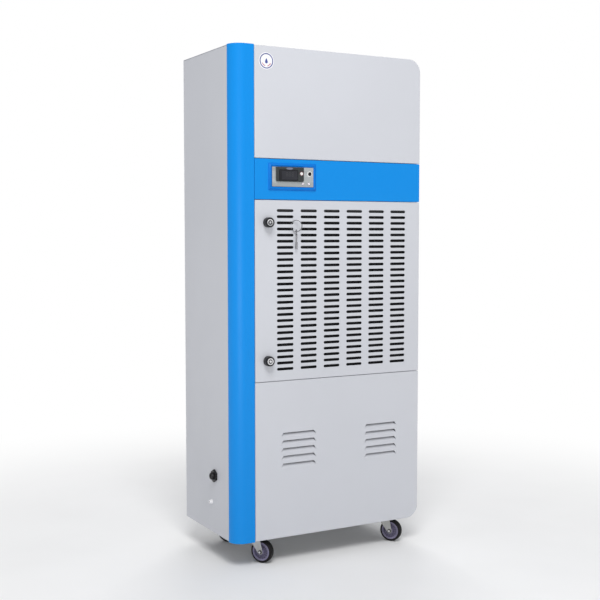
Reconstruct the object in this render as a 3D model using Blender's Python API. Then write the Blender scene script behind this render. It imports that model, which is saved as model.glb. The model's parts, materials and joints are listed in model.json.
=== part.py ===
"""Commercial cabinet dehumidifier on castors, as separate sub-parts in metres, +Z up.

Every length below is in the cabinet's own frame: x runs right from the outer left face, y runs back
from the front face, and z runs up from the floor. An empty named "cabinet" carries that frame, and
puts the middle of the whole object's footprint at the world's origin.
"""

import math

import bmesh
import bpy
from mathutils import Matrix, Vector

# ---------------------------------------------------------------- driving dimensions
WIDTH = 0.700
DEPTH = 0.390
HEIGHT = 1.650
CABINET_BOTTOM = 0.083
CORNER_RADIUS = 0.044
SHEET = 0.0015
GAP = 0.0003
SEAM = 0.0015
PAST = 0.001  # how far a cutter reaches past the surface that it opens
PANEL_DEPTH = 0.016
PANEL_TOP = HEIGHT - 0.002
SHELL_FRONT = 0.0205
SHELL_BACK = 0.3882
LEFT_FOLD = 0.015
REAR_FLANGE = 0.016
UNDER_LIP = 0.0015

COLUMN_WIDTH = 0.073
COLUMN_DEPTH = 0.043
COLUMN_WALL = 0.0025
COLUMN_OVERHANG = 0.002
PANEL_LEFT = COLUMN_WIDTH + 0.0013

BAND_LOW = 1.171
BAND_HIGH = 1.2988
DOOR_LOW = 0.594
DOOR_HIGH = BAND_LOW - SEAM
DOOR_DEPTH = 0.012

# The service door: a field of air slots, two cam locks and a hidden pivot at its right edge.
SLOT_COLUMNS = 6
SLOT_ROWS = 27
SLOT_LENGTH = 0.060
SLOT_HEIGHT = 0.008
SLOT_COLUMN_PITCH = 0.086
SLOT_ROW_PITCH = 0.01943
FIRST_SLOT_X = 0.1819
TOP_SLOT_Z = 1.1369
PIVOT_X = 0.691
PIVOT_Y = 0.008
PIN_RADIUS = 0.0025
BRACKET_LEFT = 0.685
BRACKET_RIGHT = 0.697
SEAL_WIDTH = 0.007
LOCK_X = 0.118
LOCK_HEIGHTS = {"upper": 1.099, "lower": 0.661}
LOCK_REACH = 0.022
CAM_LENGTH = 0.035
CAM_FRONT = 0.0245

# Air filter in its channel on the back of the door.
FILTER_LEFT = 0.1438
FILTER_RIGHT = 0.6512
FILTER_LOW = 0.6044
FILTER_HIGH = 1.146
FILTER_FRONT = 0.0061
FILTER_BACK = 0.0191
FILTER_LIFT = 0.010
CHANNEL_SHEET = 0.001
CHANNEL_LIP = 0.007

# Welded front frame that the panels, the door seal and the hinge brackets sit on.
FRAME_FRONT = 0.021
FRAME_LEFT = 0.012
FRAME_LOW = 0.1035
FRAME_GAP = 0.0004
FRAME_RETURN = 0.020
LOWER_WINDOW = (0.060, 0.130, 0.650, 0.560)
DOOR_WINDOW = (0.105, 0.601, 0.650, 1.159)
UPPER_WINDOW = (0.060, 1.205, 0.650, 1.600)

# Control unit in the band.
BEZEL = (0.121, 1.200, 0.294, 1.2865)
BEZEL_SLOPE = 0.0115
BEZEL_BORDER = 0.012
BEZEL_HEIGHT = 0.006
CONTROL_CUTOUT = (0.137, 1.216, 0.278, 1.270)
PLATE_FRONT = -0.0046
HOUSING = (0.146, 1.228, 0.245, 1.2735)
HOUSING_FRONT = -0.009
DISPLAY = (0.1566, 1.2306, 0.225, 1.2654)
DISPLAY_RECESS = 0.002
CONTROLLER_BODY = (0.160, 1.235, 0.230, 1.264)
CONTROLLER_BACK = 0.055
SET_BUTTON = (0.2367, 1.254)
SET_BUTTON_RADIUS = 0.005
POWER_BUTTON = (0.268, 1.254)
POWER_BUTTON_RADIUS = 0.0055
LAMPS = {"power_lamp": (0.2430, 1.2225), "run_lamp": (0.2650, 1.2225)}
LAMP_RADIUS = 0.0038

# Key ring threaded round the web between the third and fourth slots of the first column.
RING_RADIUS = 0.018
RING_WIRE = 0.0008
RING_YAW = math.radians(-40)
RING_X = 0.207
RING_Z = TOP_SLOT_Z - 2.5 * SLOT_ROW_PITCH
RING_OFFSET = 0.01425
KEY_LENGTH = 0.056

# Louvres pressed into the lower panel.
LOUVRE_ROWS = 5
LOUVRE_PITCH = 0.025
LOUVRE_TOP = 0.4245
LOUVRE_HEIGHT = 0.0135
LOUVRE_CENTRES = (0.231, 0.546)
LOUVRE_BOTTOM_HALF = 0.065
LOUVRE_TOP_HALF = 0.0565
LOUVRE_DEPTH = 0.010

# Castors: a plate, a swivelling fork, a wheel and its axle bolt, four times over.
CASTOR_X = (0.100, 0.600)
CASTOR_Y = (0.063, 0.327)
CASTOR_YAW = math.radians(-54.6)
CASTOR_TRAIL = 0.030
WHEEL_RADIUS = 0.0375
WHEEL_HALF = 0.013
WHEEL_STEPS = 20
FORK_REAR = -0.0195
FORK_REACH = 0.0275
LEG_INNER = 0.0148
LEG_OUTER = 0.0173
AXLE_RADIUS = 0.0037
FORK_TOP = 0.0922
PLATE_LOW = 0.1000
PLATE_TOP = 0.1027
PLATE_SIDE = 0.060

# Base pan, shelves, coils and refrigerating parts inside.
PAN_LOW = 0.103
PAN_FOLD = 0.020
PAN_SHEET = 0.002
INSIDE_LEFT = 0.015
INSIDE_RIGHT = 0.695
TRAY_LOW = 0.598
TRAY_HIGH = 0.622
NIPPLE_LOW = 0.580
DECK_TOP = 1.1815
COIL_LEFT = 0.086
COIL_RIGHT = 0.644
COIL_LOW = 0.632
COIL_HIGH = 1.152
COIL_WALL = 0.006
EVAPORATOR = (0.075, 0.135)
CONDENSER = (0.165, 0.240)
COMPRESSOR = (0.250, 0.215)
COMPRESSOR_RADIUS = 0.062
COMPRESSOR_TOP = 0.400
ACCUMULATOR = (0.140, 0.215)
ACCUMULATOR_TOP = 0.345
SUCTION_RADIUS = 0.008
SUCTION_BEND = 0.024
SUCTION_LEVEL = 0.500
DISCHARGE_RADIUS = 0.005
DISCHARGE_BEND = 0.020
DISCHARGE_LEVEL = 0.460
LIQUID_RADIUS = 0.004
LIQUID_BEND = 0.015
HOSE_BEND = 0.030
HOSE_X = 0.055
PIPES_BEHIND = 0.330
SUCTION_HOLE = (0.672, 0.105)

# Centrifugal blower under the outlet in the top.
BLOWER_X = (0.230, 0.470)
BLOWER_Y = 0.185
BLOWER_Z = 1.340
SCROLL_START = 0.120
SCROLL_GROWTH = 0.045
SCROLL_FROM = math.radians(20)
SCROLL_TO = math.radians(270)
THROAT_TOP = 1.632
INLET_RADIUS = 0.085
IMPELLER_RADIUS = 0.105
BLADES = 20
OUTLET = (0.230, 0.144, 0.470, 0.350)
GRILLE_FLANGE = 0.010
GRILLE_FLANGE_SHEET = 0.0012
GRILLE_DROP = 0.014
GRILLE_SLATS = 12
DECK_OPENING = (0.040, 0.070, 0.215, 0.360)
ELECTRICAL_BOX = (0.500, 0.048, 0.685, 0.120)
ELECTRICAL_TOP = 1.290

# Services on the left side.
GLAND = (0.148, 0.275)
GLAND_REACH = 0.017
GLAND_BASE = 0.0075
GLAND_BORE = 0.006
GLAND_HOLE = 0.0104
SPOUT = (0.173, 0.184)
SPOUT_REACH = 0.010
SPOUT_RADIUS = 0.006
SPOUT_BORE = 0.004
SPOUT_HOLE = 0.0065

CABINET_ORIGIN = Vector((-(WIDTH - GLAND_REACH) / 2, -(DEPTH - LOCK_REACH) / 2, 0))

# ---------------------------------------------------------------- outlines


def box_outline(low_a, low_b, high_a, high_b, radii=(0, 0, 0, 0), inset=0.0, steps=8):
    """A rectangle, corner by corner from the low one, each corner sharp or rounded."""
    corners = (
        (low_a, low_b, 1, 1, 180),
        (high_a, low_b, -1, 1, 270),
        (high_a, high_b, -1, -1, 0),
        (low_a, high_b, 1, -1, 90),
    )
    points = []
    for (a, b, side_a, side_b, start), radius in zip(corners, radii):
        if radius == 0:
            points.append((a + side_a * inset, b + side_b * inset))
            continue
        for step in range(steps + 1):
            angle = math.radians(start + 90 * step / steps)
            reach = radius - inset
            centre_a = a + side_a * radius
            centre_b = b + side_b * radius
            points.append((centre_a + reach * math.cos(angle), centre_b + reach * math.sin(angle)))
    return points


def circle(centre_a, centre_b, radius, steps=16, flat=False):
    """A regular polygon; a flat one has its sides, not its corners, at the radius and one side lowest."""
    start = math.pi / steps if flat else 0.0
    reach = radius / math.cos(math.pi / steps) if flat else radius
    angles = [start - math.pi / 2 + 2 * math.pi * i / steps for i in range(steps)]
    return [(centre_a + reach * math.cos(t), centre_b + reach * math.sin(t)) for t in angles]


def cabinet_outline(inset=0.0, left=0.0, bottom=CABINET_BOTTOM):
    """The cabinet seen from the front: square corners at the left, large round ones at the right."""
    radii = (0, CORNER_RADIUS, CORNER_RADIUS, 0)
    return box_outline(left, bottom, WIDTH, PANEL_TOP, radii, inset)


def along(outline, axis, level):
    """A flat outline as points in space, at one level along the axis that it faces."""
    if axis == "x":
        return [(level, a, b) for a, b in outline]
    if axis == "y":
        return [(a, level, b) for a, b in outline]
    return [(a, b, level) for a, b in outline]


# ---------------------------------------------------------------- meshes


def loft(rings, endless=False):
    """Walls between rings of equal length, with a cap at both ends unless the last meets the first."""
    bm = bmesh.new()
    rows = [[bm.verts.new(point) for point in ring] for ring in rings]
    pairs = list(zip(rows, rows[1:]))
    if endless:
        pairs.append((rows[-1], rows[0]))
    else:
        bm.faces.new(rows[0])
        bm.faces.new(rows[-1])
    for first, second in pairs:
        for i, corner in enumerate(first):
            j = (i + 1) % len(first)
            bm.faces.new((corner, first[j], second[j], second[i]))
    bmesh.ops.recalc_face_normals(bm, faces=bm.faces)
    return bm


def prism(outline, axis, low, high):
    return loft([along(outline, axis, low), along(outline, axis, high)])


def box(low, high):
    return prism(box_outline(low[0], low[1], high[0], high[1]), "z", low[2], high[2])


def turned(profile, axis, centre, steps=16, endless=False, flat=False):
    """A turned solid from (level, radius) pairs, or a hollow one when the profile runs back on itself."""
    rings = [along(circle(*centre, radius, steps, flat), axis, level) for level, radius in profile]
    return loft(rings, endless)


def tray(outline, axis, face, rim, sheet=SHEET):
    """A folded panel: outline(inset) gives its edge, and the fold runs from the face to the rim."""
    inward = math.copysign(sheet, rim - face)
    rings = [
        along(outline(0.0), axis, face),
        along(outline(0.0), axis, rim),
        along(outline(sheet), axis, rim),
        along(outline(sheet), axis, face + inward),
    ]
    return loft(rings)


def several(shapes):
    """Shapes that don't touch each other, as one mesh."""
    bm = bmesh.new()
    for shape in shapes:
        mesh = bpy.data.meshes.new("part_of_several")
        shape.to_mesh(mesh)
        shape.free()
        bm.from_mesh(mesh)
        bpy.data.meshes.remove(mesh)
    return bm


def moved(shape, matrix):
    bmesh.ops.transform(shape, matrix=matrix, verts=shape.verts)
    return shape


def rounded_route(corners, radius, steps=5):
    """A pipe's centre line: straight runs whose corners are arcs of one radius."""
    corners = [Vector(corner) for corner in corners]
    route = [corners[0]]
    for before, corner, after in zip(corners, corners[1:], corners[2:]):
        back = (before - corner).normalized()
        ahead = (after - corner).normalized()
        half = back.angle(ahead) / 2
        centre = corner + (back + ahead).normalized() * radius / math.sin(half)
        start = corner + back * radius / math.tan(half) - centre
        for step in range(steps + 1):
            angle = (math.pi - 2 * half) * step / steps
            route.append(centre + start * math.cos(angle) - back * radius * math.sin(angle))
    return route + [corners[-1]]


# ---------------------------------------------------------------- objects


def paint(name, color, roughness, metallic=0.0):
    material = bpy.data.materials.new(name)
    material.use_nodes = True
    shader = material.node_tree.nodes["Principled BSDF"]
    shader.inputs["Base Color"].default_value = (*color, 1.0)
    shader.inputs["Roughness"].default_value = roughness
    shader.inputs["Metallic"].default_value = metallic
    return material


def empty(name, place, parent=None):
    """An empty on a joint's axis; place is in the cabinet's frame."""
    marker = bpy.data.objects.new(name, None)
    marker["place"] = tuple(place)
    hang(marker, parent)
    return marker


def hang(obj, parent):
    obj.parent = parent
    above = Vector(parent["place"]) if parent else -CABINET_ORIGIN
    obj.location = Vector(obj["place"]) - above
    bpy.context.collection.objects.link(obj)


def solid(name, shape, material, parent, smooth=False):
    """A named sub-part from a mesh in the cabinet's frame, with its origin at its parent's."""
    mesh = bpy.data.meshes.new(name)
    place = Vector(parent["place"])
    moved(shape, Matrix.Translation(-place)).to_mesh(mesh)
    shape.free()
    mesh.materials.append(material)
    if smooth:
        mesh.shade_smooth()
        mesh.set_sharp_from_angle(angle=math.radians(35))
    obj = bpy.data.objects.new(name, mesh)
    obj["place"] = tuple(place)
    hang(obj, parent)
    return obj


def combine(obj, shape, operation, label):
    """Adds or cuts a shape by a Boolean modifier; the helper follows the object that it works on."""
    mesh = bpy.data.meshes.new(label)
    moved(shape, Matrix.Translation(-Vector(obj["place"]))).to_mesh(mesh)
    shape.free()
    helper = bpy.data.objects.new(obj.name + "_" + label, mesh)
    bpy.context.collection.objects.link(helper)
    helper.parent = obj
    helper.hide_render = True
    helper.display_type = "WIRE"
    modifier = obj.modifiers.new(label, "BOOLEAN")
    modifier.operation = operation
    modifier.object = helper


def add(obj, shape, label):
    combine(obj, shape, "UNION", label)


def cut(obj, shape, label):
    combine(obj, shape, "DIFFERENCE", label)


def pipe(name, corners, radius, bend, material, parent):
    """A bent tube as a curve with a round bevel and filled ends."""
    route = rounded_route(corners, bend)
    curve = bpy.data.curves.new(name, "CURVE")
    curve.dimensions = "3D"
    curve.bevel_depth = radius
    curve.bevel_resolution = 1
    curve.use_fill_caps = True
    spline = curve.splines.new("POLY")
    spline.points.add(len(route) - 1)
    for point, place in zip(spline.points, route):
        point.co = (*(place - Vector(parent["place"])), 1.0)
    curve.materials.append(material)
    obj = bpy.data.objects.new(name, curve)
    obj["place"] = tuple(parent["place"])
    hang(obj, parent)
    return obj


# ---------------------------------------------------------------- casing


def make_casing(cabinet):
    make_column(cabinet)
    make_left_panel(cabinet)
    make_shell(cabinet)
    rear = prism(cabinet_outline(), "y", DEPTH - SHEET, DEPTH)
    solid("rear_panel", rear, GREY, cabinet, smooth=True)

    upper = tray(
        lambda inset: box_outline(
            PANEL_LEFT, BAND_HIGH + SEAM, WIDTH, PANEL_TOP, (0, 0, CORNER_RADIUS, 0), inset
        ),
        "y", 0.0, PANEL_DEPTH,
    )
    solid("upper_front_panel", upper, GREY, cabinet, smooth=True)


def make_column(cabinet):
    """The rounded corner column: a bent wall with closed ends, open at its back."""
    radii = (COLUMN_DEPTH, 0, 0, 0)
    low = CABINET_BOTTOM - COLUMN_OVERHANG
    block = prism(box_outline(0, 0, COLUMN_WIDTH, COLUMN_DEPTH, radii), "z", low, HEIGHT)
    column = solid("front_column", block, BLUE, cabinet, smooth=True)
    hollow = box_outline(0, 0, COLUMN_WIDTH, COLUMN_DEPTH, radii, COLUMN_WALL)
    behind = COLUMN_DEPTH + PAST
    hollow = [(x, behind if y > COLUMN_DEPTH - 2 * COLUMN_WALL else y) for x, y in hollow]
    inside = (low + COLUMN_WALL, HEIGHT - COLUMN_WALL)
    cut(column, prism(hollow, "z", *inside), "hollow")
    past_fold = box(
        (COLUMN_WIDTH - 2 * COLUMN_WALL, PANEL_DEPTH, inside[0]),
        (COLUMN_WIDTH + PAST, behind, inside[1]),
    )
    cut(column, past_fold, "past_fold")


def make_left_panel(cabinet):
    front = COLUMN_DEPTH + 2 * GAP
    top = PANEL_TOP - SHEET - GAP
    shape = tray(
        lambda inset: box_outline(front, CABINET_BOTTOM, SHELL_BACK, top, inset=inset),
        "x", 0.0, LEFT_FOLD,
    )
    panel = solid("left_side_panel", shape, GREY, cabinet)
    holes = [
        turned(((-PAST, radius), (SHEET + PAST, radius)), "x", centre)
        for centre, radius in ((GLAND, GLAND_HOLE), (SPOUT, SPOUT_HOLE))
    ]
    cut(panel, several(holes), "service_holes")


def wrap_path(inset):
    """Along the top, down the right side and a little way under, as one bent sheet runs."""
    points = cabinet_outline(inset)
    top_left = points[-1]
    round_right = points[1:-1]
    under = (WIDTH - CORNER_RADIUS - UNDER_LIP, CABINET_BOTTOM + inset)
    return [under] + round_right + [top_left]


def make_shell(cabinet):
    """Top and right side in one bent sheet, with a flange at the back for the rear panel."""
    strip = wrap_path(0.0) + wrap_path(SHEET)[::-1]
    shell = solid("right_shell", prism(strip, "y", SHELL_FRONT, SHELL_BACK), GREY, cabinet, True)
    ring = wrap_path(SHEET / 2) + wrap_path(REAR_FLANGE)[::-1]
    flange = [(max(x, LEFT_FOLD + 0.002), z) for x, z in ring]
    add(shell, prism(flange, "y", SHELL_BACK - SHEET, SHELL_BACK), "rear_flange")
    levels = (PANEL_TOP - SHEET - PAST, PANEL_TOP + PAST)
    notch_reach = (COLUMN_WIDTH + 2 * GAP, COLUMN_DEPTH + 2 * GAP)
    notch = box((-PAST, 0.0, levels[0]), (*notch_reach, levels[1]))
    outlet = box((*OUTLET[:2], levels[0]), (*OUTLET[2:], levels[1]))
    cut(shell, several((notch, outlet)), "top_openings")


def make_outlet_grille(cabinet):
    """A drop-in grille: a flange on the top sheet, walls below it, and slanted slats across."""
    def rim(inset):
        return box_outline(*OUTLET, inset=inset)

    top = PANEL_TOP + GAP + GRILLE_FLANGE_SHEET
    low = PANEL_TOP - GRILLE_DROP
    clear = 0.0004
    wall = 0.003
    rings = [
        along(rim(-GRILLE_FLANGE), "z", PANEL_TOP + GAP),
        along(rim(-GRILLE_FLANGE), "z", top),
        along(rim(wall), "z", top),
        along(rim(wall), "z", low),
        along(rim(clear), "z", low),
        along(rim(clear), "z", PANEL_TOP + GAP),
    ]
    grille = solid("outlet_grille", loft(rings, endless=True), GREY, cabinet)
    slats = []
    pitch = (OUTLET[3] - OUTLET[1] - 2 * wall) / (GRILLE_SLATS + 1)
    for index in range(GRILLE_SLATS):
        y = OUTLET[1] + wall + (index + 1) * pitch
        outline = [(y, top), (y - 0.0015, top), (y - 0.0055, low), (y - 0.004, low)]
        slats.append(prism(outline, "x", OUTLET[0] + wall / 2, OUTLET[2] - wall / 2))
    add(grille, several(slats), "slats")


def make_front_frame(cabinet):
    """A plate with three windows and a fold round its edge, which stops short of the base pan."""
    inset = SHEET + FRAME_GAP
    shape = tray(
        lambda sheet: [
            (max(x, FRAME_LEFT + sheet), max(z, FRAME_LOW + sheet))
            for x, z in cabinet_outline(inset + sheet)
        ],
        "y", FRAME_FRONT, FRAME_FRONT + FRAME_RETURN,
    )
    frame = solid("front_frame", shape, ZINC, cabinet, smooth=True)
    cutters = [
        box((left, FRAME_FRONT - PAST, low), (right, FRAME_FRONT + SHEET + PAST, high))
        for left, low, right, high in (LOWER_WINDOW, DOOR_WINDOW, UPPER_WINDOW)
    ]
    over_pan = box(
        (FRAME_LEFT - PAST, FRAME_FRONT + SHEET, FRAME_LOW - PAST),
        (WIDTH, FRAME_FRONT + FRAME_RETURN + PAST, PAN_LOW + PAN_FOLD + 0.004),
    )
    cut(frame, several(cutters), "windows")
    cut(frame, over_pan, "over_pan")


def make_lower_panel(cabinet):
    top = DOOR_LOW - SEAM
    radii = (0, CORNER_RADIUS, 0, 0)
    shape = tray(
        lambda inset: box_outline(PANEL_LEFT, CABINET_BOTTOM, WIDTH, top, radii, inset),
        "y", 0.0, PANEL_DEPTH,
    )
    panel = solid("lower_front_panel", shape, GREY, cabinet, smooth=True)
    openings = []
    blades = []
    for centre in LOUVRE_CENTRES:
        for row in range(LOUVRE_ROWS):
            high = LOUVRE_TOP - row * LOUVRE_PITCH
            low = high - LOUVRE_HEIGHT
            opening = [
                (centre - LOUVRE_BOTTOM_HALF, low),
                (centre + LOUVRE_BOTTOM_HALF, low),
                (centre + LOUVRE_TOP_HALF, high),
                (centre - LOUVRE_TOP_HALF, high),
            ]
            openings.append(prism(opening, "y", -PAST, SHEET + PAST))
            blade = [
                (0.0002, low - 0.001),
                (SHEET, low - 0.001),
                (LOUVRE_DEPTH + SHEET, high - 0.004),
                (LOUVRE_DEPTH, high - 0.003),
                (0.0002, low + 0.0008),
            ]
            blades.append(prism(blade, "x", centre - LOUVRE_TOP_HALF, centre + LOUVRE_TOP_HALF))
    cut(panel, several(openings), "louvre_openings")
    add(panel, several(blades), "louvre_blades")
    cut(panel, hinge_notch(top), "hinge_notch")


def hinge_notch(level):
    """Room for a hinge bracket through the fold of the panel next to the door."""
    low = (BRACKET_LEFT - 0.002, SHEET + 0.0001, level - 0.003)
    return box(low, (WIDTH - SHEET - 0.0001, PANEL_DEPTH + PAST, level + 0.003))


# ---------------------------------------------------------------- control unit


def make_control_unit(cabinet):
    shape = tray(
        lambda inset: box_outline(PANEL_LEFT, BAND_LOW, WIDTH, BAND_HIGH, inset=inset),
        "y", 0.0, PANEL_DEPTH,
    )
    band = solid("control_band", shape, BLUE, cabinet)
    left, low, right, high = CONTROL_CUTOUT
    cut(band, box((left, -PAST, low), (right, SHEET + PAST, high)), "control_cutout")
    cut(band, hinge_notch(BAND_LOW), "hinge_notch")

    def rim(inset):
        return box_outline(*BEZEL, inset=inset)

    bezel_rings = [
        along(rim(0.0), "y", -GAP),
        along(rim(BEZEL_SLOPE), "y", -BEZEL_HEIGHT),
        along(rim(BEZEL_BORDER), "y", -BEZEL_HEIGHT),
        along(rim(BEZEL_BORDER), "y", -GAP),
    ]
    solid("control_bezel", loft(bezel_rings, endless=True), BLUE, cabinet)

    plate_shape = prism(rim(BEZEL_BORDER + GAP), "y", PLATE_FRONT, PLATE_FRONT + SHEET)
    plate = solid("control_plate", plate_shape, BRUSHED, cabinet)
    left, low, right, high = CONTROLLER_BODY
    behind = (PLATE_FRONT - PAST, PLATE_FRONT + SHEET + PAST)
    holes = [box((left - GAP, behind[0], low - GAP), (right + GAP, behind[1], high + GAP))]
    for centre, radius in [(POWER_BUTTON, POWER_BUTTON_RADIUS)] + [
        (centre, LAMP_RADIUS) for centre in LAMPS.values()
    ]:
        holes.append(turned([(level, radius + 0.0004) for level in behind], "y", centre))
    cut(plate, several(holes), "plate_holes")

    make_controller(cabinet)
    lens = box_outline(*DISPLAY, inset=GAP)
    window = prism(lens, "y", HOUSING_FRONT - 0.0002, HOUSING_FRONT + DISPLAY_RECESS - 0.0004)
    solid("display_window", window, LENS, cabinet)
    for name, centre in LAMPS.items():
        profile = ((-0.0068, 0.0022), (-0.0058, LAMP_RADIUS), (0.004, LAMP_RADIUS))
        solid(name, turned(profile, "y", centre, 12), LAMP, cabinet, smooth=True)

    make_push_buttons(cabinet)


def make_controller(cabinet):
    """Housing with a round-cornered front, a recess for the display and a body behind the plate."""
    front = box_outline(*HOUSING, radii=(0.005, 0.005, 0, 0), steps=3)
    shape = prism(front, "y", HOUSING_FRONT, PLATE_FRONT - GAP)
    housing = solid("controller_housing", shape, BLACK, cabinet)
    left, low, right, high = CONTROLLER_BODY
    body = box((left, PLATE_FRONT - 0.001, low), (right, CONTROLLER_BACK, high))
    add(housing, body, "body")
    left, low, right, high = DISPLAY
    front, floor = (HOUSING_FRONT - PAST, HOUSING_FRONT + DISPLAY_RECESS)
    recess = box((left, front, low), (right, floor, high))
    bore = [(level, SET_BUTTON_RADIUS + 0.0004) for level in (front, PLATE_FRONT)]
    cut(housing, several((recess, turned(bore, "y", SET_BUTTON))), "recesses")


def make_push_buttons(cabinet):
    middle = HOUSING_FRONT
    press_set = empty("set_button_slide", (SET_BUTTON[0], middle, SET_BUTTON[1]), cabinet)
    profile = (
        (HOUSING_FRONT - 0.0012, SET_BUTTON_RADIUS - 0.0006),
        (HOUSING_FRONT - 0.0006, SET_BUTTON_RADIUS),
        (HOUSING_FRONT + 0.0026, SET_BUTTON_RADIUS),
    )
    solid("set_button", turned(profile, "y", SET_BUTTON), WHITE, press_set, smooth=True)

    press_power = empty("power_button_slide", (POWER_BUTTON[0], middle, POWER_BUTTON[1]), cabinet)
    profile = (
        (-0.0080, POWER_BUTTON_RADIUS - 0.0006),
        (-0.0074, POWER_BUTTON_RADIUS),
        (-0.0028, POWER_BUTTON_RADIUS),
        (-0.0028, POWER_BUTTON_RADIUS + 0.0015),
        (-0.0005, POWER_BUTTON_RADIUS + 0.0015),
    )
    solid("power_button", turned(profile, "y", POWER_BUTTON), BLACK, press_power, smooth=True)


# ---------------------------------------------------------------- door


def make_door(cabinet):
    hinge = empty("door_hinge", (PIVOT_X, PIVOT_Y, DOOR_LOW), cabinet)
    left = COLUMN_WIDTH + 0.002
    shape = tray(
        lambda inset: box_outline(left, DOOR_LOW, WIDTH, DOOR_HIGH, inset=inset),
        "y", 0.0, DOOR_DEPTH,
    )
    door = solid("service_door", shape, GREY, hinge)
    slots = []
    for column in range(SLOT_COLUMNS):
        for row in range(SLOT_ROWS):
            x = FIRST_SLOT_X + column * SLOT_COLUMN_PITCH
            z = TOP_SLOT_Z - row * SLOT_ROW_PITCH
            low = (x - SLOT_LENGTH / 2, -PAST, z - SLOT_HEIGHT / 2)
            high = (x + SLOT_LENGTH / 2, SHEET + PAST, z + SLOT_HEIGHT / 2)
            slots.append(box(low, high))
    cut(door, several(slots), "air_slots")
    holes = []
    for level in (DOOR_LOW, DOOR_HIGH):
        span = ((level - 0.003, PIN_RADIUS + 0.0004), (level + 0.003, PIN_RADIUS + 0.0004))
        holes.append(turned(span, "z", (PIVOT_X, PIVOT_Y), flat=True))
    for height in LOCK_HEIGHTS.values():
        holes.append(turned(((-0.001, 0.0099), (0.003, 0.0099)), "y", (LOCK_X, height)))
    cut(door, several(holes), "pin_and_lock_holes")
    add_filter_channels(door)

    for place, height in LOCK_HEIGHTS.items():
        make_lock(place, height, hinge)
    make_filter(hinge)
    make_keys(hinge)


def add_filter_channels(door):
    """A shallow channel under the filter and a deep one over it, joined by a web down each side.

    The filter lifts into the deep one until it clears the lip below, and then swings out.
    """
    left = FILTER_LEFT - 0.0008
    right = FILTER_RIGHT + 0.0008
    low = FILTER_LOW - 0.0004
    top = FILTER_HIGH + FILTER_LIFT + 0.0015
    door_back = SHEET - 0.0001
    flange = FILTER_FRONT - 0.0004
    lip = FILTER_BACK + 0.0004

    def channel(web, outer, edge):
        """Web with a flange before the filter and a lip behind it, seen along x."""
        return [
            (door_back, web), (door_back, outer), (lip + CHANNEL_SHEET, outer),
            (lip + CHANNEL_SHEET, edge), (lip, edge), (lip, web), (flange, web),
            (flange, edge), (flange - CHANNEL_SHEET, edge), (flange - CHANNEL_SHEET, web),
        ]

    shallow = channel(low, low - CHANNEL_SHEET, low + CHANNEL_LIP)
    deep = channel(top, top + CHANNEL_SHEET, FILTER_HIGH - FILTER_LIFT)
    span = (left - CHANNEL_SHEET / 2, right + CHANNEL_SHEET / 2)
    add(door, several([prism(outline, "x", *span) for outline in (shallow, deep)]), "channels")
    levels = (low - CHANNEL_SHEET / 2, top + CHANNEL_SHEET / 2)
    webs = [
        box((edge, door_back, levels[0]), (edge + CHANNEL_SHEET, lip, levels[1]))
        for edge in (left - CHANNEL_SHEET, right)
    ]
    add(door, several(webs), "side_webs")


def make_lock(place, height, hinge):
    centre = (LOCK_X, height)
    knob = (
        (-GAP, 0.0160), (-LOCK_REACH + 0.002, 0.0160), (-LOCK_REACH, 0.0145),
        (-LOCK_REACH, 0.0112), (-LOCK_REACH + 0.003, 0.0112), (-LOCK_REACH + 0.003, 0.0073),
        (0.020, 0.0073), (0.020, 0.0095), (-GAP, 0.0095),
    )
    barrel = solid(
        place + "_lock_barrel", turned(knob, "y", centre, 20, endless=True), BLACK, hinge, True
    )
    nut = turned(((SHEET + GAP, 0.0140), (0.0060, 0.0140)), "y", centre, 6)
    cut_nut = turned(((SHEET, 0.0085), (0.0070, 0.0085)), "y", centre, 20)
    add(barrel, nut, "nut")
    cut(barrel, cut_nut, "bore")

    turn = empty(place + "_lock_turn", (LOCK_X, CAM_FRONT, height), hinge)
    plug_profile = (
        (0.0270, 0.0068), (-LOCK_REACH + 0.0026, 0.0068), (-LOCK_REACH + 0.0026, 0.0108),
        (-LOCK_REACH + 0.0004, 0.0108), (-LOCK_REACH + 0.0004, 0.0066),
        (-LOCK_REACH + 0.0018, 0.0064), (-LOCK_REACH + 0.0018, 0.0040),
        (-LOCK_REACH + 0.0004, 0.0036),
    )
    plug = solid(place + "_lock_cam", turned(plug_profile, "y", centre, 16), CHROME, turn, True)
    cam = box_outline(
        LOCK_X - 0.008, height - CAM_LENGTH, LOCK_X + 0.008, height + 0.008,
        (0.007, 0.007, 0.007, 0.007), steps=3,
    )
    add(plug, prism(cam, "y", CAM_FRONT, CAM_FRONT + 0.0022), "cam")


def make_filter(hinge):
    lift = empty("filter_lift", (FILTER_LEFT, FILTER_FRONT, FILTER_LOW), hinge)
    border = 0.012

    def edge(inset):
        return box_outline(FILTER_LEFT, FILTER_LOW, FILTER_RIGHT, FILTER_HIGH, inset=inset)

    rings = [
        along(edge(border), "y", FILTER_FRONT + 0.003),
        along(edge(border), "y", FILTER_FRONT),
        along(edge(0.0), "y", FILTER_FRONT),
        along(edge(0.0), "y", FILTER_BACK),
        along(edge(border), "y", FILTER_BACK),
        along(edge(border), "y", FILTER_BACK - 0.003),
    ]
    solid("air_filter", loft(rings), FILTER, lift)


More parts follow.
